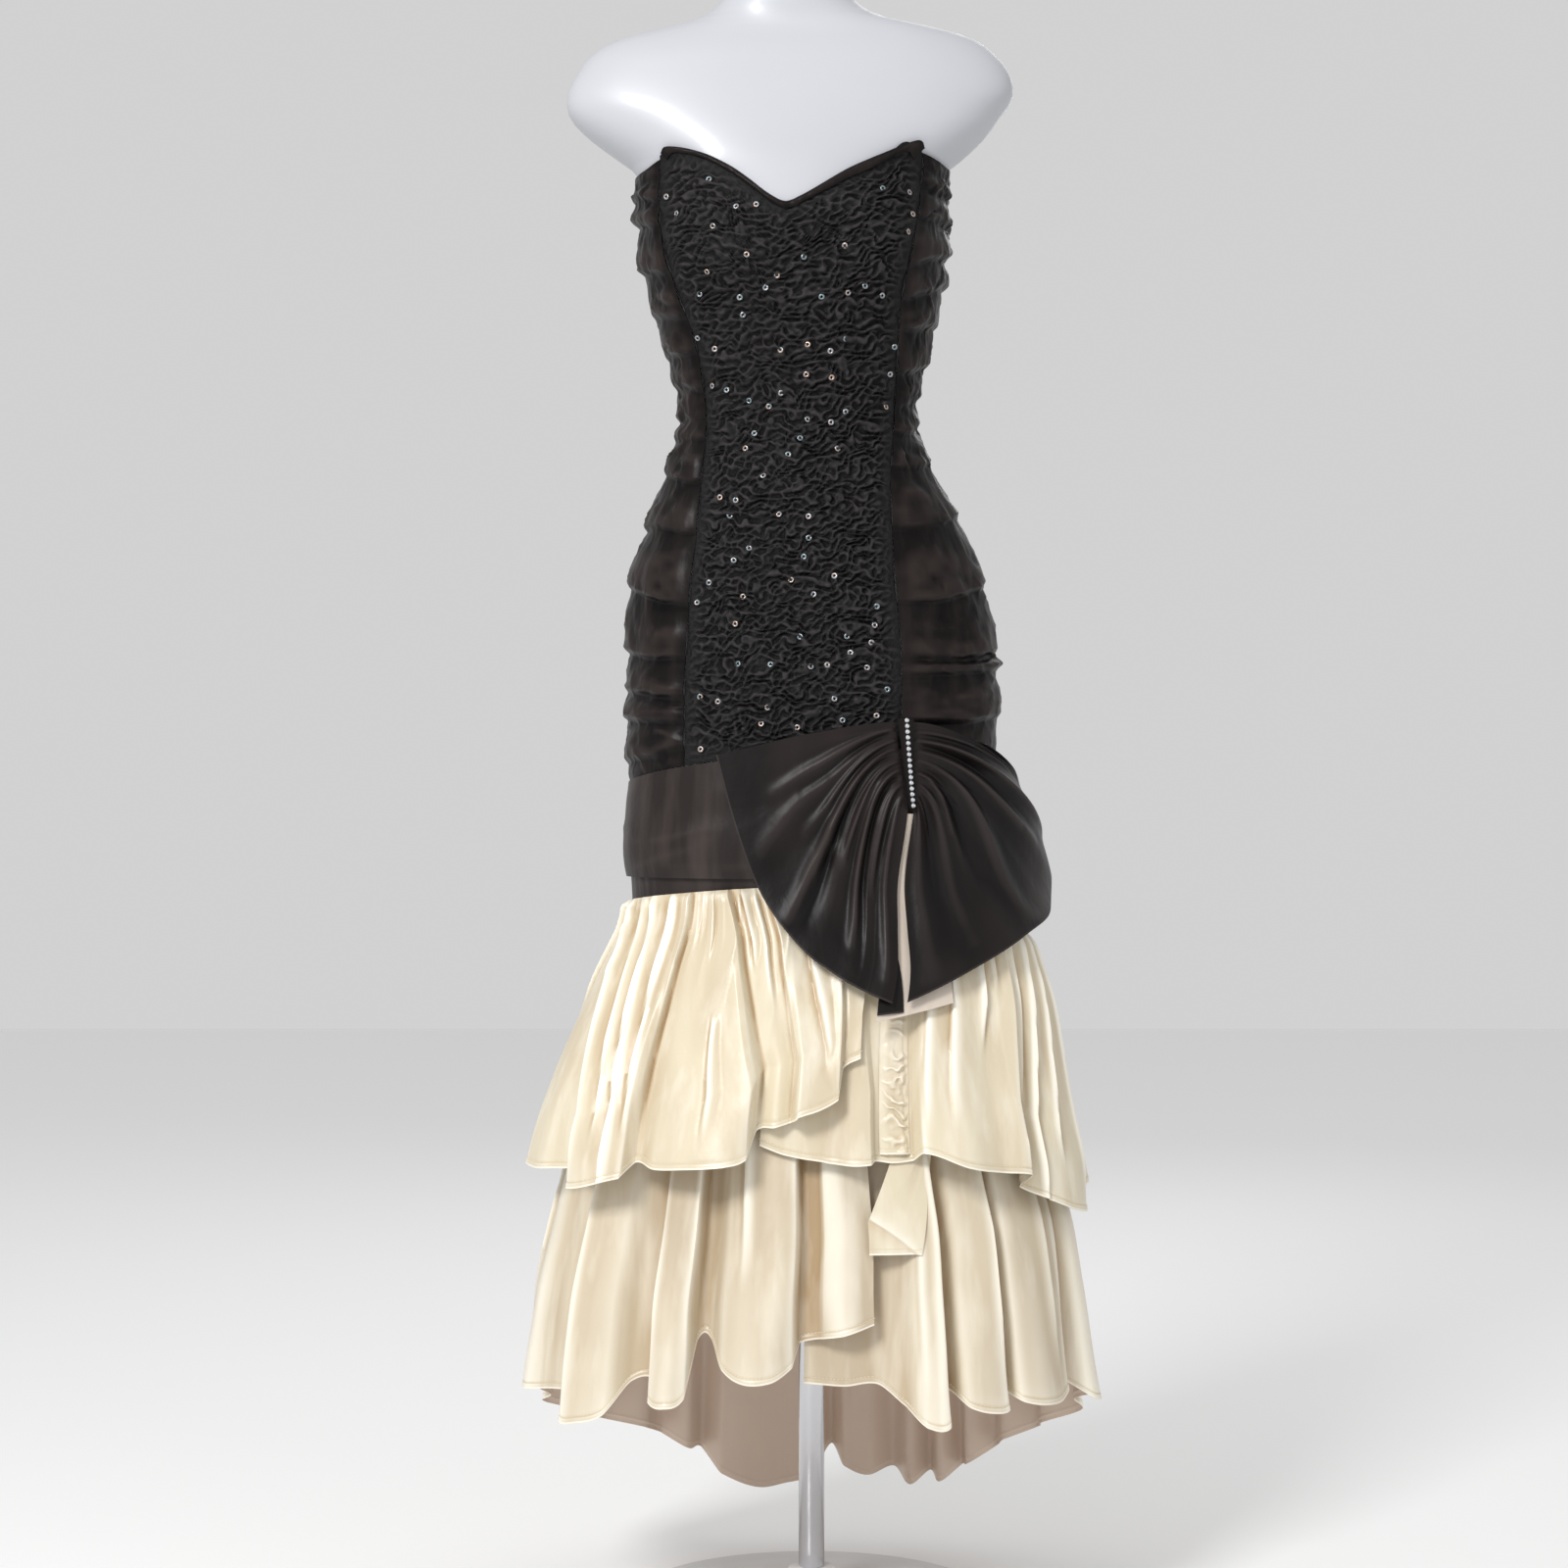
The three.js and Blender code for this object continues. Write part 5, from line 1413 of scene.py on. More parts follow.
@dataclass
class FrontPanel:
    """The crinkled front of the bodice, with its sequins and the binding along its top.

    The seams meet the neckline and the hip band at the heights in top and foot, left and right.
    """

    across: int = 150
    down: int = 470
    inset: float = 0.08
    lift: float = 0.7
    relief: float = 4.2
    top: Pair = (1345.0, 1348.0)
    foot: Pair = (785.0, 800.0)
    flat: Pair = (0.24, 0.60)
    ground: tuple[int, int] = (24, 60)
    sequins: float = 950.0
    sequin_gap: float = 15.0
    sequin_tilt: float = 0.3
    strip_from: float = -48.0
    strip_to: float = 47.0
    strip_above: float = 2.6
    strip_widths: Pair = (4.0, 9.0)
    strip_roll: float = 1.1
    noise: Noise = field(default_factory=partial(Noise, 41))
    warp: Noise = field(default_factory=partial(Noise, 42))

    def place(self, u: Array, v: Array, out: Array | float) -> Array:
        """Points of the panel, between the two front seams.

        Args:
            u: shares across.
            v: shares down.
            out: how far the points stand out from the figure.

        Returns:
            The points.
        """
        top_left, top_right = (front_seam(side, z) for side, z in zip(Side, self.top))
        low_left, low_right = (front_seam(side, z) for side, z in zip(Side, self.foot))
        high = NECKLINE.read("z", blend(top_left, top_right, u))
        low = BAND_TOP.read("z", blend(low_left, low_right, u)) + 2 * SEAM_GAP
        z = blend(high, low, v)
        left, right = front_seam(Side.LEFT, z) + self.inset, front_seam(Side.RIGHT, z) - self.inset
        return figure(blend(left, right, u), z, out)

    def crinkle(self, x: Array, z: Array) -> Array:
        """Winding puckers that part and meet, mostly level, from 0 to 1.

        Args:
            x: places across the panel.
            z: heights.

        Returns:
            How far the cloth is puckered up at each point.
        """
        sway = 1.9 * self.warp.at(x / 17 + 9, z / 11) + 0.95 * self.warp.at(x / 7.5, z / 6.5 + 31)
        drift = 1.6 * self.noise.at(x / 15 + 40, z / 14 + 5)
        drift = drift + 0.8 * self.noise.at(x / 6 + 3, z / 5.5 + 61)
        level = 0.5 + 0.5 * np.cos(2 * np.pi * (z / 7.6 + sway))
        slanted = 0.5 + 0.5 * np.cos(2 * np.pi * ((z - 0.9 * x) / 10.5 + drift))
        strong = self.warp.at(x / 10 + 60, z / 7 + 7)
        return np.maximum(level**1.6 * (0.35 + 0.85 * strong), slanted**1.8 * (1.1 - 0.8 * strong))

    def build(self) -> None:
        """Builds the panel, its sequins and its binding."""
        u, v = grid_places(self.across, self.down)
        plain = self.place(u, v, CLEARANCE + self.lift)
        sides = np.minimum(1, np.minimum(9 * u, 9 * (1 - u)))
        edge = sides * np.minimum(1, np.minimum(24 * v, 24 * (1 - v)))
        rise = self.crinkle(plain[..., 0] * 1.12, plain[..., 2]) * edge
        points = self.place(u, v, CLEARANCE + self.lift + self.relief * rise)
        sheet = Sheet("crinkled_panel", points, CRINKLE, 0.8, Backing.TURNED, reach=5.0, depth=2.6)
        panel = sheet.sew("front_panel")
        self.scatter()
        self.binding()

    def scatter(self) -> None:
        """Strews flat ring sequins over the panel."""
        u, v = grid_places(*self.ground)
        face = self.place(0.03 + 0.94 * u, 0.02 + 0.96 * v, CLEARANCE + self.lift + 0.72 * self.relief)
        base = Sheet("sequin_ground", face, SEQUIN).build()
        keep_outer_face(base, math.prod(self.ground))
        rule = Rule("sequins", Density=self.sequins, Least_Gap=self.sequin_gap * MM, Seed=7,
                    Ring_Radius=2.0 * MM, Band=1.6 * MM, Film=0.22 * MM)
        spots = rule.add("GeometryNodeDistributePointsOnFaces", {"distribute_method": "POISSON"},
                         Mesh=rule.start.outputs[0], Distance_Min=rule.size("Least_Gap"),
                         Density_Max=rule.size("Density"), Seed=rule.size("Seed"))
        circle = rule.add("GeometryNodeCurvePrimitiveCircle", {"mode": "RADIUS"}, Resolution=14,
                          Radius=rule.size("Ring_Radius"))
        section = rule.add("GeometryNodeCurvePrimitiveQuadrilateral", {"mode": "RECTANGLE"},
                           Width=rule.size("Band"), Height=rule.size("Film"))
        ring = rule.add("GeometryNodeCurveToMesh", None, Curve=circle.outputs[0],
                        Profile_Curve=section.outputs[0])
        tilt = rule.add("FunctionNodeRandomValue", {"data_type": "FLOAT_VECTOR"},
                        Min=(-self.sequin_tilt, -self.sequin_tilt, 0.0),
                        Max=(self.sequin_tilt, self.sequin_tilt, 3.0), Seed=3)
        turned = rule.add("FunctionNodeRotateRotation", {"rotation_space": "LOCAL"},
                          Rotation=spots.outputs["Rotation"], Rotate_By=tilt.outputs[0])
        rule.repeat(spots.outputs[0], ring, turned.outputs[0], SEQUIN)
        rule.apply(base, "sequins", SEQUIN)

    def binding(self) -> None:
        """Builds the satin strip folded along the neckline."""
        u, v = grid_places(220, 12)
        angle = blend(self.strip_from, self.strip_to, u)
        ends = smooth(14 * u) * smooth(14 * (1 - u))
        narrow, wide = self.strip_widths
        width = narrow + (wide - narrow) * smooth(2 * u - 0.8)
        z = NECKLINE.read("z", angle) + self.strip_above * ends - 0.6 - (width + 2) * v
        gather = 0.8 * self.noise.ridges(u * 60, v * 1.2 + 5) * np.sin(np.pi * v)
        roll = self.strip_roll * np.sin(np.pi * np.clip(v * 1.05, 0, 1)) ** 0.7
        points = figure(angle, z, CLEARANCE + SATIN_WALL + 0.9 + (roll + gather + 1.2 * v) * ends)
        sheet = Sheet("neckline_strip", points, BLACK_SATIN, 1.2, Backing.TURNED)
        strip = sheet.sew("neckline_binding")


def keep_outer_face(made: Piece, count: int) -> None:
    """Keeps the first faces of a mesh, those of a sheet's outer side.

    Args:
        made: the object.
        count: how many faces stay.
    """
    shape = bmesh.new()
    shape.from_mesh(made.data)
    shape.faces.ensure_lookup_table()
    bmesh.ops.delete(shape, geom=shape.faces[count:], context="FACES")
    shape.to_mesh(made.data)
    shape.free()


@dataclass(frozen=True)
class Edge:
    """An upright edge of a panel: an angle round the figure, or one counted from a front seam."""

    angle: float
    seam: Side | None = None

    def at(self, z: Array | float) -> Array:
        """The edge's angle at each height."""
        start = front_seam(self.seam, z) if self.seam else 0 * np.asarray(z, dtype=float)
        return start + self.angle


@dataclass
class RuchedPanel:
    """A satin panel gathered into level tucks, from one seam to the next."""

    name: str
    node: str
    tucks: Table
    start: Edge
    end: Edge
    flat: Pair
    seed: int
    seam_gathers: Pair
    width: float
    columns: int = 100
    between: int = 8
    crest: float = 4.0
    valley: float = 4.0
    floor: float = 0.6
    neck: float = 1335.0
    waist: float = 1050.0
    hips: float = 790.0
    top_fold: float = 13.0
    edge_out: float = 2.0
    least_step: float = 1.5
    wander: float = 7.0
    small_folds: int = 90
    creased_heights: Pair = (800.0, 1320.0)

    def angle(self, u: Array, z: Array | float) -> Array:
        """The angle at a share of the way across, at a height."""
        return blend(self.start.at(z), self.end.at(z), u)

    def rows(self, u: Array) -> tuple[Array, Array]:
        """The heights of the tucks' crests and valleys, and how far they stand out.

        Args:
            u: shares across the panel.

        Returns:
            Two arrays, across by rows.
        """
        noise = Noise(self.seed)
        middle = self.angle(u, self.waist)
        share = np.minimum(1, np.abs(middle) / SIDE_SEAM)
        behind = np.maximum(0, (np.abs(middle) - SIDE_SEAM) / (180 - SIDE_SEAM))
        top = NECKLINE.read("z", self.angle(u, self.neck)) - SEAM_GAP
        bottom = BAND_TOP.read("z", self.angle(u, self.hips)) + SEAM_GAP
        edge = self.edge_out + 0 * u
        heights, outs = [top, top - self.top_fold], [edge, edge]
        columns = (self.tucks.column(name) for name in ("seam", "side", "back", "out"))
        for i, (seam, side, back, out) in enumerate(zip(*columns)):
            z = blend(blend(seam, side, smooth(1.6 * share - 0.6)), back, smooth(behind))
            z = z + self.wander * (noise.at(u * 3.1 + 5, 0 * u + 4.3 * i) - 0.5)
            swing = 0.62 + 0.62 * noise.at(u * 4.3 + 31, 0 * u + 3.7 * i + 11)
            heights += [z + self.crest, z - self.valley * (0.6 + 0.5 * swing)]
            outs += [out * swing, self.floor + 0 * u]
        heights.append(bottom)
        outs.append(edge)
        z, out = np.stack(heights, -1), np.stack(outs, -1)
        last = z.shape[1] - 1
        for i in range(1, last):
            z[:, i] = np.minimum(z[:, i], z[:, i - 1] - self.least_step)
        for i in range(last - 1, 0, -1):
            z[:, i] = np.maximum(z[:, i], z[:, i + 1] + self.least_step)
        return z, out

    def points(self) -> Array:
        """The panel's outer face.

        Returns:
            The grid of points.
        """
        u = np.linspace(0, 1, self.columns + 1)
        z_rows, out_rows = self.rows(u)
        count = z_rows.shape[1] - 1
        s = np.linspace(0, count, count * self.between + 1)
        i = np.minimum(np.floor(s).astype(int), count - 1)
        f = s - i
        falls = (i >= 2) & (i % 2 == 0)
        eased = np.where(falls, smooth(f), np.sin(np.pi / 2 * f) ** 1.25)
        z = blend(z_rows[:, i], z_rows[:, i + 1], f)
        out = blend(out_rows[:, i], out_rows[:, i + 1], eased)
        across = u[:, None] + 0 * z
        out = out + self.relief(across * self.width, z)
        ends = 0.5 + 0.5 * smooth(9 * np.minimum(across, 1 - across))
        ends = ends * np.minimum(1, 0.35 + np.minimum(z_rows[:, :1] - z, z - z_rows[:, -1:]) / 9)
        return figure(self.angle(across, z), z, CLEARANCE + 0.7 + np.maximum(out, 0) * ends)

    def relief(self, place: Array, z: Array) -> Array:
        """Small folds between the tucks: short creases, gathers at the seams and soft dents.

        Args:
            place: millimetres across the panel.
            z: heights.

        Returns:
            How far each point is lifted.
        """
        noise = Noise(self.seed + 1)
        creases = scattered_creases(self.seed, self.small_folds, self.width, *self.creased_heights)
        folds = creased(creases, place, z)
        left, right = self.seam_gathers
        pull = noise.ridges(place / 60 + 3, (z + 6 * noise.at(place / 30, z / 40)) / 6.5)
        near = left * np.exp(-place / 17) + right * np.exp(-(self.width - place) / 17)
        crumple = noise.ridges((place + 0.7 * z) / 21 + 8, (z - 0.3 * place) / 12 + 50) ** 2
        crumple = crumple + 0.6 * noise.ridges((place - 0.8 * z) / 13 + 60, (z + 0.2 * place) / 9) ** 3
        inside = smooth(np.minimum(place, self.width - place) / 30)
        gathers, dents = 3.0 * near * (pull - 0.62), 1.2 * inside * (crumple - 0.6)
        return folds * (0.4 + 0.6 * inside) + gathers + dents

    def build(self) -> None:
        """Builds the panel."""
        sheet = Sheet(self.name, self.points(), BLACK_SATIN, 0.7, Backing.TURNED, reach=9.0, depth=4.2)
        made = sheet.sew(self.node)


@dataclass
class Bodice:
    """The four ruched panels round the front one, with the closed zip behind."""

    gap: float = 0.06
    zip_columns: int = 28
    zip_rows: int = 190
    zip_wide: float = 3.8
    zip_top: float = 1294.0
    zip_bottom: float = 769.0
    zip_out: float = 4.4
    zip_wall: float = 5.6
    stitch_inset: float = 2.0
    stitch_out: float = 4.9

    def build(self) -> None:
        """Builds the panels and the zip."""
        gap = self.gap
        left, right = Edge(-gap, Side.LEFT), Edge(gap, Side.RIGHT)
        for sizes in (
            ("ruched_front_left", "side_front_left", RUCHING_LEFT, Edge(-SIDE_SEAM + gap), left,
             (0.125, 0.66), 11, (0.2, 1.0), 118),
            ("ruched_front_right", "side_front_right", RUCHING_RIGHT, right, Edge(SIDE_SEAM - gap),
             (0.14, 0.66), 23, (1.0, 0.2), 140),
            ("ruched_back_left", "back_left", RUCHING_LEFT, Edge(-180 + gap), Edge(-SIDE_SEAM - gap),
             (0.21, 0.66), 37, (0.8, 0.3), 190),
            ("ruched_back_right", "back_right", RUCHING_RIGHT, Edge(SIDE_SEAM + gap), Edge(180 - gap),
             (0.21, 0.66), 53, (0.3, 0.8), 190),
        ):
            RuchedPanel(*sizes).build()
        self.zip()

    def zip(self) -> None:
        """Builds the two lips of satin that close over the zip, and their stitches."""
        u, v = grid_places(self.zip_columns, self.zip_rows)
        aside = np.abs(u - 0.5) * 2
        groove = 1.1 * np.exp(-((aside / 0.12) ** 2))
        lips = 0.7 * np.sin(np.pi * (1 - aside)) ** 0.6
        ease = 0.35 * Noise(61).at(u * 3, v * 34)
        points = figure(180 + (u - 0.5) * self.zip_wide, blend(self.zip_top, self.zip_bottom, v),
                        CLEARANCE + SATIN_WALL + self.zip_out + lips - groove + ease)
        made = Sheet("zip_lips", points, BLACK_SATIN, self.zip_wall).sew("back_zip")
        z = blend(self.zip_top - self.stitch_inset, self.zip_bottom + self.stitch_inset, v[0])
        for side, share in zip(Side, (0.1, 0.9)):
            angle = 180 + (share - 0.5) * self.zip_wide + 0 * v[0]
            line = figure(angle, z, CLEARANCE + SATIN_WALL + self.stitch_out)
            stitch_row(f"zip_stitches_{side.value}", line, BLACK_THREAD)


@dataclass
class HipBand:
    """The folded band round the hips and the strip under it."""

    around: int = 300
    rows: int = 46
    strip_rows: int = 15
    strip_top: float = 691.0
    strip_shows: float = 682.5
    strip_tucked: float = 2.9
    strip_turned: float = 0.9
    # the band's lighter copy of the black satin: painted sheen
    cloth: tuple[Satin, float, Backing, bool] = (LIT_BAND_SATIN, 0.9, Backing.TURNED, True)
    noise: Noise = field(default_factory=partial(Noise, 71))

    def places(self, rows: int) -> tuple[Array, Array]:
        """The angles round the band and the shares down it."""
        ring = np.linspace(-180, 180, self.around + 1)[:-1]
        return np.meshgrid(ring, np.linspace(0, 1, rows), indexing="ij")

    def build(self) -> None:
        """Builds the band and the strip."""
        angle, v = self.places(self.rows)
        high = BAND_TOP.read("z", angle) - SEAM_GAP
        z = blend(high, BAND_BOTTOM, v)
        drag = 2.2 * (self.noise.at((angle + 180) / 12 + 2, v * 4.2 + 3) - 0.5)
        fold = 1.3 * self.noise.ridges((angle + 180) / 46, v * 4 + (angle + 180) / 60) ** 3
        tucked = np.minimum(1, 7 * v) * np.minimum(1, 9 * (1 - v))
        out = BAND_BULGE.read("out", v) + (drag + fold) * tucked
        points = figure(angle, z, BAND_INSIDE + 1.0 + np.maximum(out, -0.1))
        made = Sheet("hip_wrap", wrap_seamless(points), *self.cloth).sew("hip_band")
        self.strip()

    def strip(self) -> None:
        """Builds the narrow strip from under the band to the skirt seam."""
        angle, v = self.places(self.strip_rows)
        low, shows = SKIRT_SEAM.read("z", angle), self.strip_shows
        z = blend(self.strip_top, low, v)
        tucked = self.strip_tucked * smooth((z - shows) / (self.strip_top - shows))
        turned = tucked + self.strip_turned * smooth((z - low) / np.maximum(shows - low, 1))
        ease = 0.7 * self.noise.ridges((angle + 180) / 3.1 + 7, v * 1.3) * smooth(3 * v)
        points = figure(angle, z, CLEARANCE + 1.2 + turned + ease)
        made = Sheet("hip_binding", wrap_seamless(points), *self.cloth).sew("hip_strip")


def wrap_seamless(points: Array, count: int = 12) -> Array:
    """Eases both ends of a ring toward each other, so that its noise meets itself.

    Args:
        points: the ring, across by down.
        count: how many columns are eased at each end.

    Returns:
        The ring, moved toward or away from the upright axis at its ends.
    """
    share = smooth(np.linspace(0, 1, count))[:, None]
    radius = np.linalg.norm(points[..., :2], axis=-1)
    step = (radius[0] - radius[-1])[None, :]
    made = points.copy()
    made[-count:, :, :2] *= (1 + share * 0.5 * step / radius[-count:])[..., None]
    made[:count, :, :2] *= (1 - share[::-1] * 0.5 * step / radius[:count])[..., None]
    return made


@dataclass
class SkirtTier:
    """Half of a skirt tier: a gathered sheet whose folds grow toward the hem."""

    name: str
    node: str
    sections: Table
    folds: Folds
    flat: Pair
    area: float | None
    gathers: float
    pleats: Table
    seed: int
    finish: Satin = IVORY_SATIN
    backing: Backing = Backing.WALL
    sharpness: float = 1.4
    swing: float = 1.2
    between: int = 10
    shade_reach: float = 17.0
    shade_depth: float = 6.0
    body_rows: int = 58
    hem_rows: tuple[float, ...] = (9, 7, 6.3, 5.8, 5.2, 4.2, 2.4, 0.9, 0)
    hem_bead: float = 0.55
    hem_stitches: float = 5.9

    def pleated(self, angle: Array, t: Array) -> Array:
        """The lift of the sharp-edged pleats: those listed for the front, and more like them behind.

        Args:
            angle: angles round the skirt.
            t: shares of the way down.

        Returns:
            How far each point is lifted.
        """
        draw = np.random.default_rng(self.seed + 5)
        hidden = []
        for at in np.arange(90, 176, 10.5) * (1 if self.folds.column("hem")[-1] > 90 else -1):
            hidden.append((
                at + draw.uniform(-3, 3), at + draw.uniform(-3, 3), 0, draw.uniform(0.4, 1.1),
                draw.uniform(1.2, 3.2), draw.uniform(7, 16), draw.choice([-1, 1]),
            ))
        lift, groove = np.zeros_like(angle), np.zeros_like(angle)
        for top, hem, start, end, rise, width, side in [*self.pleats.values.T, *hidden]:
            line = top + (hem - top) * np.minimum(1, LEAN * t)
            away = (angle - line) * ARC * side
            fall, face = np.exp(-((np.abs(away) / width) ** 1.3)), np.exp(-((away / 1.7) ** 2))
            shape = np.where(away > 0, fall, face)
            window = smooth((t - start) / 0.05 + 0.4) * smooth((end - t) / 0.22)
            lift = np.maximum(lift, rise * shape * window) + 0.25 * rise * shape * window
            groove = np.maximum(groove, rise * np.exp(-(((away + 3.2) / 1.5) ** 2)) * window)
        return lift - 0.3 * groove

    def mixed(self, name: str, i: Array, share: Array) -> Array:
        """A column of the folds between two rows."""
        values = self.folds.column(name)
        return blend(values[i], values[i + 1], share)

    def points(self, extra: float = 0.0, only_hem: float | None = None) -> Array:
        """The tier's outer face.

        Args:
            extra: how far it is moved out.
            only_hem: where given, one row at this distance above the hem.

        Returns:
            The grid of points.
        """
        s = np.linspace(0, self.folds.last, self.folds.last * self.between + 1)
        i = np.minimum(np.floor(s).astype(int), self.folds.last - 1)
        f = s - i
        top, hem = self.mixed("top", i, f), self.mixed("hem", i, f)
        hem_z, hem_out = self.folds.read("z", s), self.folds.read("out", s)
        under = self.mixed("under", i, smooth(f))
        length = (SKIRT_SEAM.read("z", top) - hem_z)[:, None]
        body = np.linspace(0, 1, self.body_rows)[:-1] * (1 - self.hem_rows[0] / length)
        t = np.concatenate([body, 1 - np.array(self.hem_rows) / length], axis=1)
        if only_hem is not None:
            t = 1 - only_hem / length
        top, hem, hem_z, hem_out, under = (a[:, None] for a in (top, hem, hem_z, hem_out, under))
        angle = top + (hem - top) * np.minimum(1, LEAN * t)
        seam_z = SKIRT_SEAM.read("z", angle) - SEAM_GAP
        z = seam_z + (hem_z - seam_z) * t
        out = hem_out * (1 + (self.swing - 1) * (1 - under)) * t**FOLD_GROWTH - LAYER_STEP * under
        out = out + self.relief(angle, t * length, t, under) + extra
        return oval(self.sections, angle, z, out, z + (SEAM_LEVEL - seam_z) * (1 - t))

    def relief(self, angle: Array, below: Array, t: Array, under: Array) -> Array:
        """Gathers that fade below the seam, soft dents and the bead of the hem.

        Args:
            angle: angles round the skirt.
            below: distances below the seam.
            t: shares of the way down.
            under: 1 where the sheet lies under the other half.

        Returns:
            How far each point is lifted.
        """
        noise = Noise(self.seed)
        reach = 22 + 95 * noise.at(angle / 5.1 + 200, below / 400 + 3) ** 2
        sway = 0.5 * noise.at(angle / 8 + 90, below / 60)
        ridge = noise.ridges((angle + 200) / 3.3 + sway, below / 260 + 9)
        gather = 1.5 * self.gathers * ridge**2.6 * np.exp(-below / reach) * smooth(below / 5)
        close = noise.ridges((angle + 200) / 1.9 + 70, below / 90 + 30)
        gather = gather + 0.9 * self.gathers * (close - 0.5) * np.exp(-below / 20) * smooth(below / 5)
        run = noise.at((angle + 200) / 7.5 + 11, below / 420 + 20)
        run = run + 0.2 * noise.at((angle + 200) / 3.1, below / 300 + 4)
        long_folds = 2.6 * (run - 0.6) * smooth((t - 0.08) * 4)
        long_folds = long_folds + self.sharpness * self.pleated(angle, t)
        dents = 1.8 * (noise.at((angle + 200) / 7.5, below / 62 + 40) - 0.5) * smooth((t - 0.05) * 5)
        up = (1 - t) * below / np.maximum(t, 1e-3)
        sunk = np.exp(-(((up - self.hem_stitches) / 0.8) ** 2))
        bead = self.hem_bead * (smooth((5.4 - up) / 1.2) - 0.7 * sunk)
        return gather * (1 - under) + (long_folds + dents) * (1 - 0.75 * under) + bead

    def build(self) -> None:
        """Builds the sheet and the stitches of its hem."""
        sheet = Sheet(self.name, self.points(), self.finish, 0.8, self.backing, False,
                      self.shade_reach, self.shade_depth)
        made = sheet.sew(self.node)
        stitch_row(self.name + "_stitches", self.points(0.25, self.hem_stitches)[:, 0], IVORY_THREAD)


@dataclass
class Skirt:
    """Two open-fronted tiers, the shirred strip in the opening and the tail under it."""

    strip_from: float = 13.2
    strip_to: float = 20.0
    strip_top: float = 592.0
    strip_bottom: float = 438.0
    strip_seam: float = 676.0
    strip_hem: float = 431.0
    strip_in: float = 1.7
    strip_deeper: float = 15.3
    puckers: float = 11.7
    pucker_out: float = 3.2
    thread_at: float = 0.84
    tail_left: float = 17.3
    tail_right: float = 25.9
    tail_lean: float = -7.7
    tail_right_lean: float = -5.6
    tail_leant: float = 0.69
    tail_top: float = 446.0
    tail_bottom: float = 350.0
    tail_turn: float = 3.4

    def strip(self) -> None:
        """Builds the strip drawn up on its own thread, closed behind like a flat tube."""
        u, v = grid_places(26, 200)
        angle = blend(self.strip_from, self.strip_to, u)
        z = blend(self.strip_top, self.strip_bottom, v)
        t = (self.strip_seam - z) / (self.strip_seam - self.strip_hem)
        edge = smooth(4 * np.minimum(u, 1 - u))
        noise = Noise(83)
        wander = 1.5 * noise.at(u * 2.3, v * 9) + 0.5 * noise.at(u * 5, v * 21 + 40)
        wave = np.cos(2 * np.pi * (self.puckers * v + 0.45 * (1 - u) + wander))
        thread = 1.4 * np.exp(-(((u - self.thread_at) / 0.06) ** 2))
        strong = 0.2 + 0.8 * smooth(2.2 * v - 0.4) * (0.5 + noise.at(u * 3 + 20, v * 8))
        strong = strong * (0.2 + smooth(1.3 * u))
        pucker = self.pucker_out * (0.3 + 1.1 * np.maximum(0, wave) ** 1.4) * strong
        out = -self.strip_in - self.strip_deeper * t**FOLD_GROWTH + (0.9 + pucker - thread) * edge
        level = z + (SEAM_LEVEL - self.strip_seam) * (1 - t)
        points = oval(UPPER_TIER, angle, z, out, level)
        sheet = Sheet("gathered_strip", points, IVORY_SATIN, 0.5, Backing.TURNED, True, reach=4.0)
        made = sheet.sew("shirred_strip")

    def tail(self) -> None:
        """Builds the end of the strip, turned over on itself."""
        u, v = grid_places(50, 80)
        leaning = self.tail_lean * np.minimum(1, v / self.tail_leant) * (1 - u)
        leaning = leaning + self.tail_right_lean * v * u
        angle = blend(self.tail_left, self.tail_right, u) + leaning
        z = blend(self.tail_top, self.tail_bottom, v)
        fold_line = self.tail_leant + 0.36 * u - v
        turned = self.tail_turn * smooth(26 * fold_line) * np.minimum(1, 1.4 * v)
        noise = Noise(89)
        drawn = 1.6 * noise.ridges(u * 5 + 2 * v, v * 1.2 + 8) ** 2 * np.exp(-3 * v)
        drawn = drawn + 0.8 * noise.at(u * 3, v * 3)
        points = oval(LOWER_TIER, angle, z, TAIL_HANG.read("out", v) + turned + drawn)
        made = Sheet("turned_tail", points, IVORY_SATIN, 0.9).sew("cascade_tail")

    def build(self) -> None:
        """Builds the skirt."""
        upper, lower = ((0.80, 0.29), None, 2.6), ((0.92, 0.62), 0.42, 0.3)
        turned = {"backing": Backing.TURNED, "between": 18, "shade_reach": 8.5, "shade_depth": 4.2}
        for tier in (
            SkirtTier("skirt_upper_left", "upper_tier_left", UPPER_TIER, UPPER_LEFT_FOLDS, *upper,
                      UPPER_LEFT_PLEATS, 101, IVORY_SATIN, sharpness=1.9, swing=1.05, **turned),
            SkirtTier("skirt_upper_right", "upper_tier_right", UPPER_TIER, UPPER_RIGHT_FOLDS, *upper,
                      UPPER_RIGHT_PLEATS, 113, IVORY_SATIN, sharpness=1.7, swing=1.1, **turned),
            # the lower tiers take the darker copy of the ivory satin: painted shade
            SkirtTier("skirt_lower_left", "lower_tier_left", LOWER_TIER, LOWER_LEFT_FOLDS, *lower,
                      LOWER_LEFT_PLEATS, 127, SHADED_IVORY_SATIN),
            SkirtTier("skirt_lower_right", "lower_tier_right", LOWER_TIER, LOWER_RIGHT_FOLDS, *lower,
                      LOWER_RIGHT_PLEATS, 131, SHADED_IVORY_SATIN),
        ):
            tier.build()
        self.strip()
        self.tail()


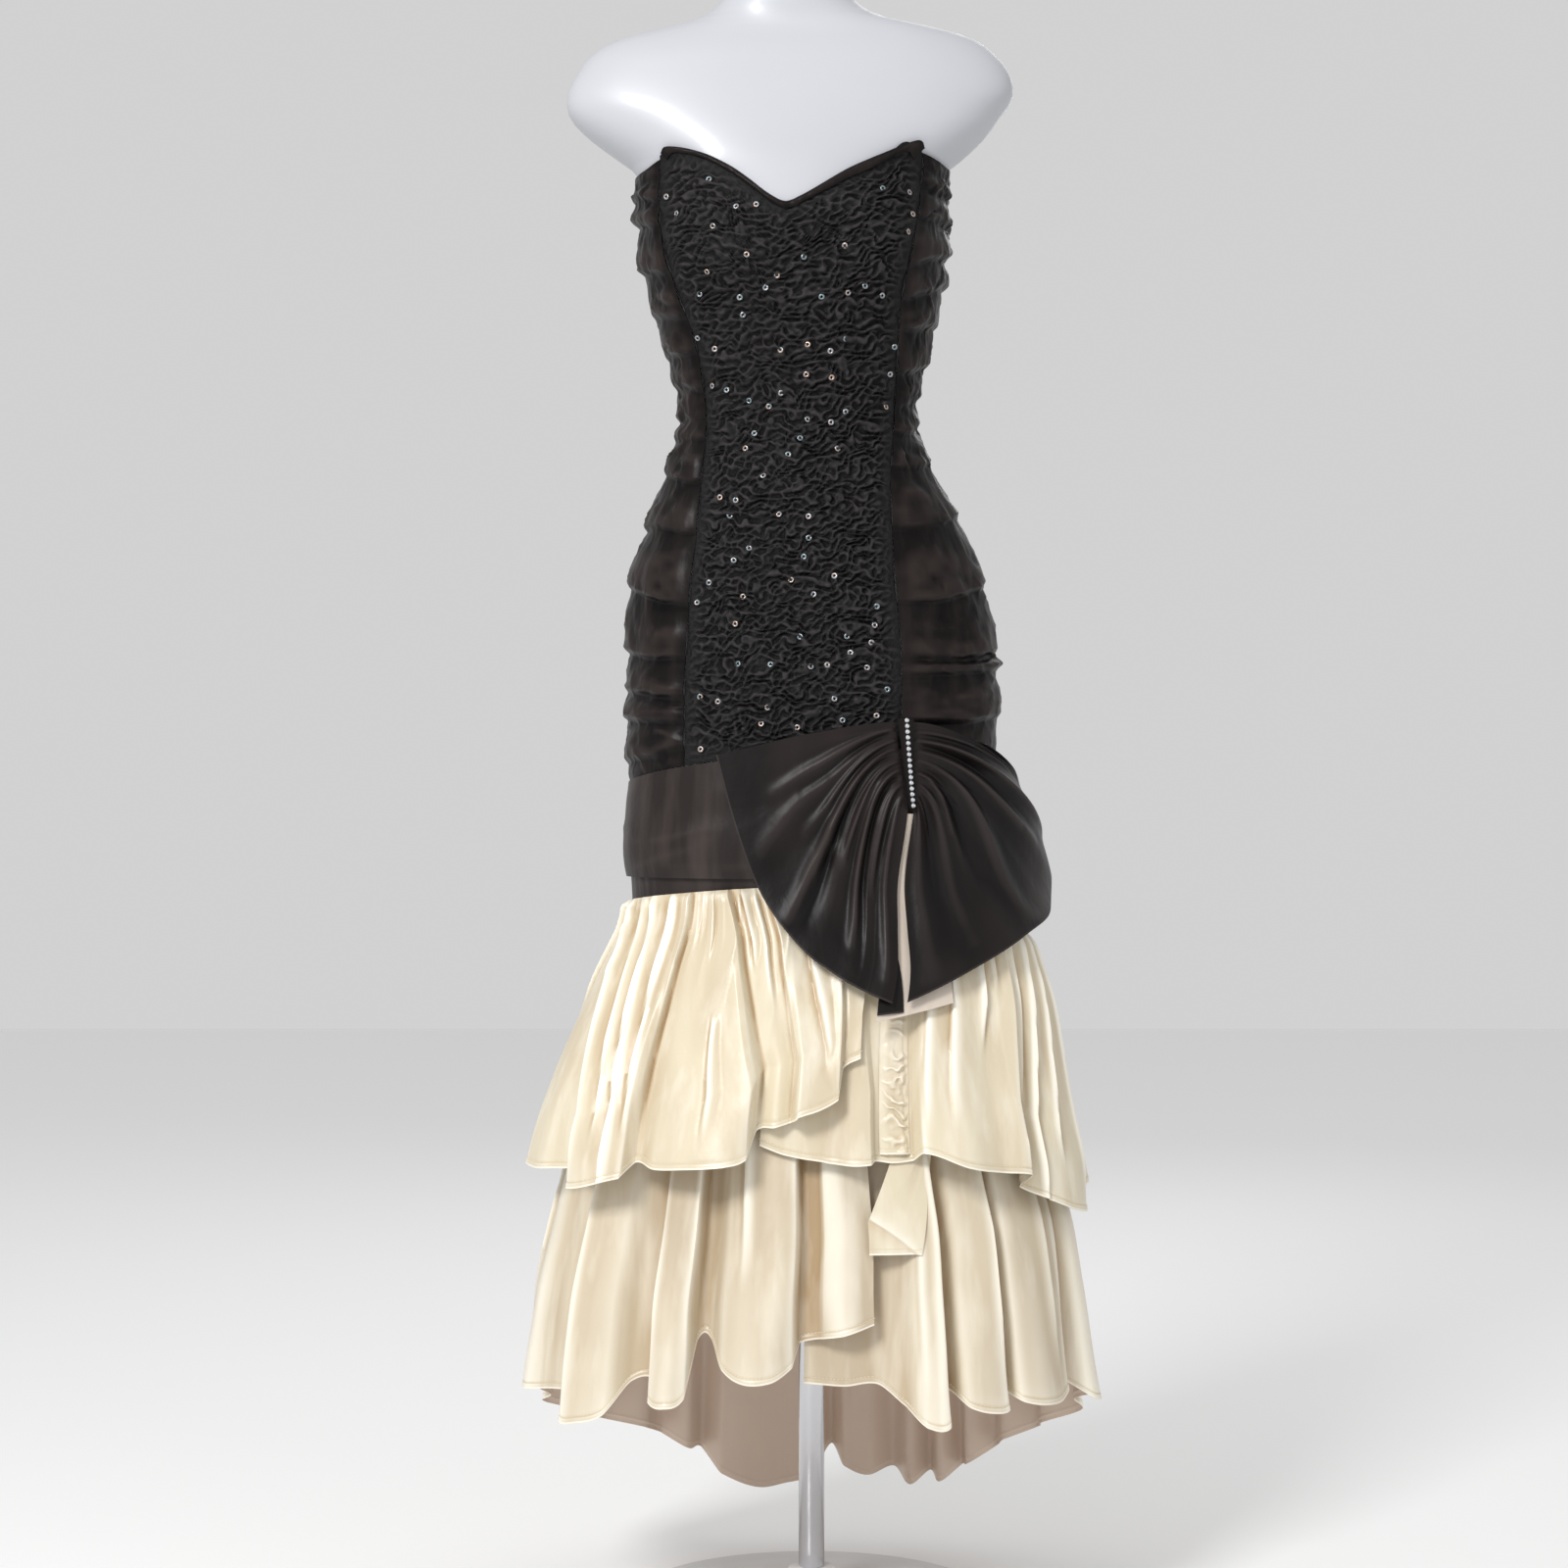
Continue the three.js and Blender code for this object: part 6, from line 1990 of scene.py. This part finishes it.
@dataclass
class Bow:
    """The fan bow on the hip: two pleated wings, a knot strip with stones and a pale underlay."""

    knot_angle: float = 24.2
    knot_top: float = 824.0
    knot_bottom: float = 747.0
    knot_half: float = 2.7
    knot_low_half: float = 1.3
    knot_slant: float = 2.6
    knot_out: float = 7.4
    knot_wall: float = 3.2
    degree: float = 3.0
    start: float = 2.0
    stone_gap: float = 4.95
    stones_out: float = 9.7
    end_left: Pair = (12.2, 11.0)
    end_right: float = 16.9
    end_top: float = 612.0
    end_bottom: float = 562.0
    end_slant: float = 2.5
    underlay_left: Pair = (20.0, 10.8)
    underlay_right: Pair = (31.0, 29.5)
    underlay_top: float = 741.0
    underlay_bottom: float = 556.0
    underlay_slant: float = 16.0
    noise: Noise = field(default_factory=partial(Noise, 151))

    def wing_points(self, outline: Folds, side: Side, bow: float) -> Array:
        """A wing's outer face: threads leave the knot level and fan out to the outline.

        Args:
            outline: the wing's free edge, from the top corner to the slit.
            side: the wing's side of the knot.
            bow: degrees by which the edge along the slit bends.

        Returns:
            The grid of points.
        """
        u, along = grid_places(190, 78)
        sign, at, creases, place = -1, u, LEFT_WING_CREASES, 3
        if side is Side.RIGHT:
            sign, at, creases, place = 1, 1 - u, RIGHT_WING_CREASES, 40
        ends = (outline.read(name, at * outline.last) for name in ("angle", "z", "out"))
        end_angle, end_z, end_out = ends
        half = blend(self.knot_half, self.knot_low_half, at)
        angle_0 = self.knot_angle + sign * half + self.knot_slant * at
        z_0 = blend(self.knot_top, self.knot_bottom, at)
        reach = np.hypot((end_angle - angle_0) * self.degree, end_z - z_0)
        run, drop = (end_angle - angle_0) / reach, (end_z - z_0) / reach
        level = sign * 0.3 * reach * (1 - at**3) / self.degree + bow * at**3
        w = 1 - along
        a, b, c, d = w**3, 3 * w * w * along, 3 * w * along**2, along**3
        before_end = end_angle - 0.35 * reach * run
        angle = a * angle_0 + b * (angle_0 + level) + c * before_end + d * end_angle
        z = (a + b) * z_0 + c * (end_z - 0.35 * reach * drop) + d * end_z
        swell = np.minimum(1, 3 * along) * (1.15 - 0.85 * along)
        pleat = 0.35 * WING_PLEATS.read("rise", at) * swell
        pleat = pleat + creased(creases, 100 * at, 100 * along)
        close = np.exp(-4 * along) * smooth(8 * at)
        small = (0.5 + 3 * close) * self.noise.ridges(at * 17 + place, along * 1.1 + 2) ** 2 * swell
        curl = 2.6 * smooth(5 * along - 4)
        out = self.start + end_out * along**1.6 + pleat + small + curl
        return oval(BOW_BED, angle, z, out)

    def wings(self) -> None:
        """Builds the two wings, of satin folded double."""
        for name, node, outline, side, bow, flat in (
            ("bow_fan_left", "bow_wing_left", LEFT_WING, Side.LEFT, 1.8, (0.20, 0.27)),
            ("bow_fan_right", "bow_wing_right", RIGHT_WING, Side.RIGHT, -0.4, (0.27, 0.30)),
        ):
            # the bow's lighter copy of the black satin: painted sheen and painted edge highlights
            sheet = Sheet(name, self.wing_points(outline, side, bow), LIT_BOW_SATIN, 1.7, depth=6.0)
            made = sheet.sew(node)

    def wing_end(self) -> None:
        """Builds the short end of the left wing's cloth that shows under its tip."""
        u, v = grid_places(12, 24)
        z = blend(self.end_top, self.end_bottom + self.end_slant * u, v)
        crease = 0.5 * self.noise.ridges(u * 3 + 80, v * 2 + 4)
        angle = blend(blend(*self.end_left, v), self.end_right, u)
        points = oval(BOW_BED, angle, z, 1.9 + crease)
        made = Sheet("bow_fan_end", points, LIT_BOW_SATIN, 0.8).sew()

    def middle(self, share: Array) -> tuple[Array, Array]:
        """The angles and heights down the middle of the knot."""
        z = self.knot_top + 3 + (self.knot_bottom - self.knot_top - 4) * share
        return self.knot_angle + self.knot_slant * share, z

    def knot(self) -> None:
        """Builds the strip over the middle of the bow."""
        u, v = grid_places(24, 60)
        half = blend(self.knot_half, self.knot_low_half, v) - 0.25
        angle, z = self.middle(v)
        crease = 0.5 * self.noise.ridges(u * 4, v * 3 + 20)
        out = self.knot_out + 1.6 * np.sin(np.pi * u) ** 0.6 + crease * np.sin(np.pi * u)
        points = oval(BOW_BED, angle + (u - 0.5) * 2 * half, z, out)
        made = Sheet("knot_strip", points, BLACK_SATIN, self.knot_wall).sew("bow_knot")
        self.stones()

    def stones(self) -> None:
        """Builds the clear stones in a row down the knot."""
        line = oval(BOW_BED, *self.middle(np.linspace(0.02, 0.97, 40)), self.stones_out)
        rule = Rule("stones", Gap=self.stone_gap * MM, Stone_Radius=2.25 * MM, Table_Radius=1.35 * MM,
                    Height=1.7 * MM)
        stone = rule.add("GeometryNodeMeshCone", None, Vertices=9, Side_Segments=2,
                         Radius_Top=rule.size("Table_Radius"), Radius_Bottom=rule.size("Stone_Radius"),
                         Depth=rule.size("Height"))
        position = rule.add("GeometryNodeInputPosition")
        level = rule.add("ShaderNodeVectorMath", {"operation": "MULTIPLY"})
        rule.tree.links.new(position.outputs[0], level.inputs[0])
        level.inputs[1].default_value = (1, 1, 0)
        rule.repeat(rule.along("Gap"), stone, rule.facing(level.outputs[0]), STONE)
        rule.apply(path_object("knot_stones", line), "knot_stones", STONE)

    def underlay(self) -> None:
        """Builds the pale cloth behind the slit between the wings."""
        u, v = grid_places(40, 90)
        left, right = blend(*self.underlay_left, v), blend(*self.underlay_right, v)
        z = self.underlay_top + (self.underlay_bottom + self.underlay_slant * u - self.underlay_top) * v
        soft = 0.9 * (self.noise.at(u * 5 + 60, v * 6) - 0.5)
        soft = soft + 0.9 * self.noise.ridges(u * 6 + v, v * 1.5 + 70) ** 2
        points = oval(BOW_BED, blend(left, right, u), z, 0.2 + soft)
        # pale cloth darkened for the shade in the slit: partly painted shade
        made = Sheet("slit_underlay", points, SHADED_PALE_CLOTH, 0.8).sew("bow_underlay")

    def build(self) -> None:
        """Builds the bow."""
        self.underlay()
        self.wings()
        self.wing_end()
        self.knot()


@dataclass
class Studio:
    """A plain pale floor, soft light and the camera at the photograph's angle.

    Each light has a name, a place, a size in metres and a power in watts.
    """

    camera_place: Triple = (-0.0258, -3.0, 0.768)
    sensor: float = 36.0
    focal_share: float = 2.0375
    floor_reach: float = 14.0
    floor_colour: Triple = (0.92, 0.92, 0.92)
    world_strength: float = 0.64
    aim: Triple = (0, 0, 0.85)
    lights: tuple[tuple[str, Triple, float, float], ...] = (
        ("key", (-1.6, -2.9, 2.9), 1.0, 106),
        ("fill", (2.4, -2.6, 1.5), 1.4, 5),
        ("back", (0.6, 2.6, 2.4), 1.6, 13),
    )

    def floor(self) -> None:
        """Builds the floor."""
        bpy.ops.mesh.primitive_plane_add(size=self.floor_reach)
        plane = bpy.context.object
        plane.name = "studio_floor"
        surface = Surface("studio_floor", self.floor_colour, Roughness=0.6)
        surface.feed(surface.shader.inputs["Roughness"], surface.noise(3, 3) * 0.1 + 0.55)
        plane.data.materials.append(surface.material)

    def light(self, name: str, place: Triple, size: float, power: float) -> None:
        """Hangs a soft square light, turned to the part's middle.

        Args:
            name: the light's name.
            place: where it hangs, in metres.
            size: its side, in metres.
            power: its power, in watts.
        """
        lamp = bpy.data.lights.new(name, "AREA")
        lamp.size, lamp.energy = size, power
        made = bpy.data.objects.new(name, lamp)
        made.location = place
        made.rotation_euler = (Vector(self.aim) - Vector(place)).to_track_quat("-Z", "Y").to_euler()
        bpy.context.collection.objects.link(made)

    def camera(self) -> None:
        """Places the camera."""
        lens = bpy.data.cameras.new("camera")
        lens.sensor_width = self.sensor
        lens.lens = self.sensor * self.focal_share
        made = bpy.data.objects.new("camera", lens)
        made.location = self.camera_place
        made.rotation_euler = (math.pi / 2, 0, 0)
        bpy.context.collection.objects.link(made)
        bpy.context.scene.camera = made

    def build(self) -> None:
        """Builds the studio."""
        self.floor()
        for light in self.lights:
            self.light(*light)
        world = bpy.data.worlds.new("studio")
        world.use_nodes = True
        background = world.node_tree.nodes["Background"]
        background.inputs["Color"].default_value = (1, 1, 1, 1)
        background.inputs["Strength"].default_value = self.world_strength
        bpy.context.scene.world = world
        bpy.context.scene.view_settings.view_transform = "Standard"
        self.camera()


def main() -> None:
    """Builds the gown, its form and the studio, in order."""
    logging.basicConfig(level=logging.INFO, format="%(name)s %(message)s")
    for assembly in (DressForm(), FrontPanel(), Bodice(), HipBand(), Skirt(), Bow(), Studio()):
        assembly.build()


if __name__ == "__main__":
    main()
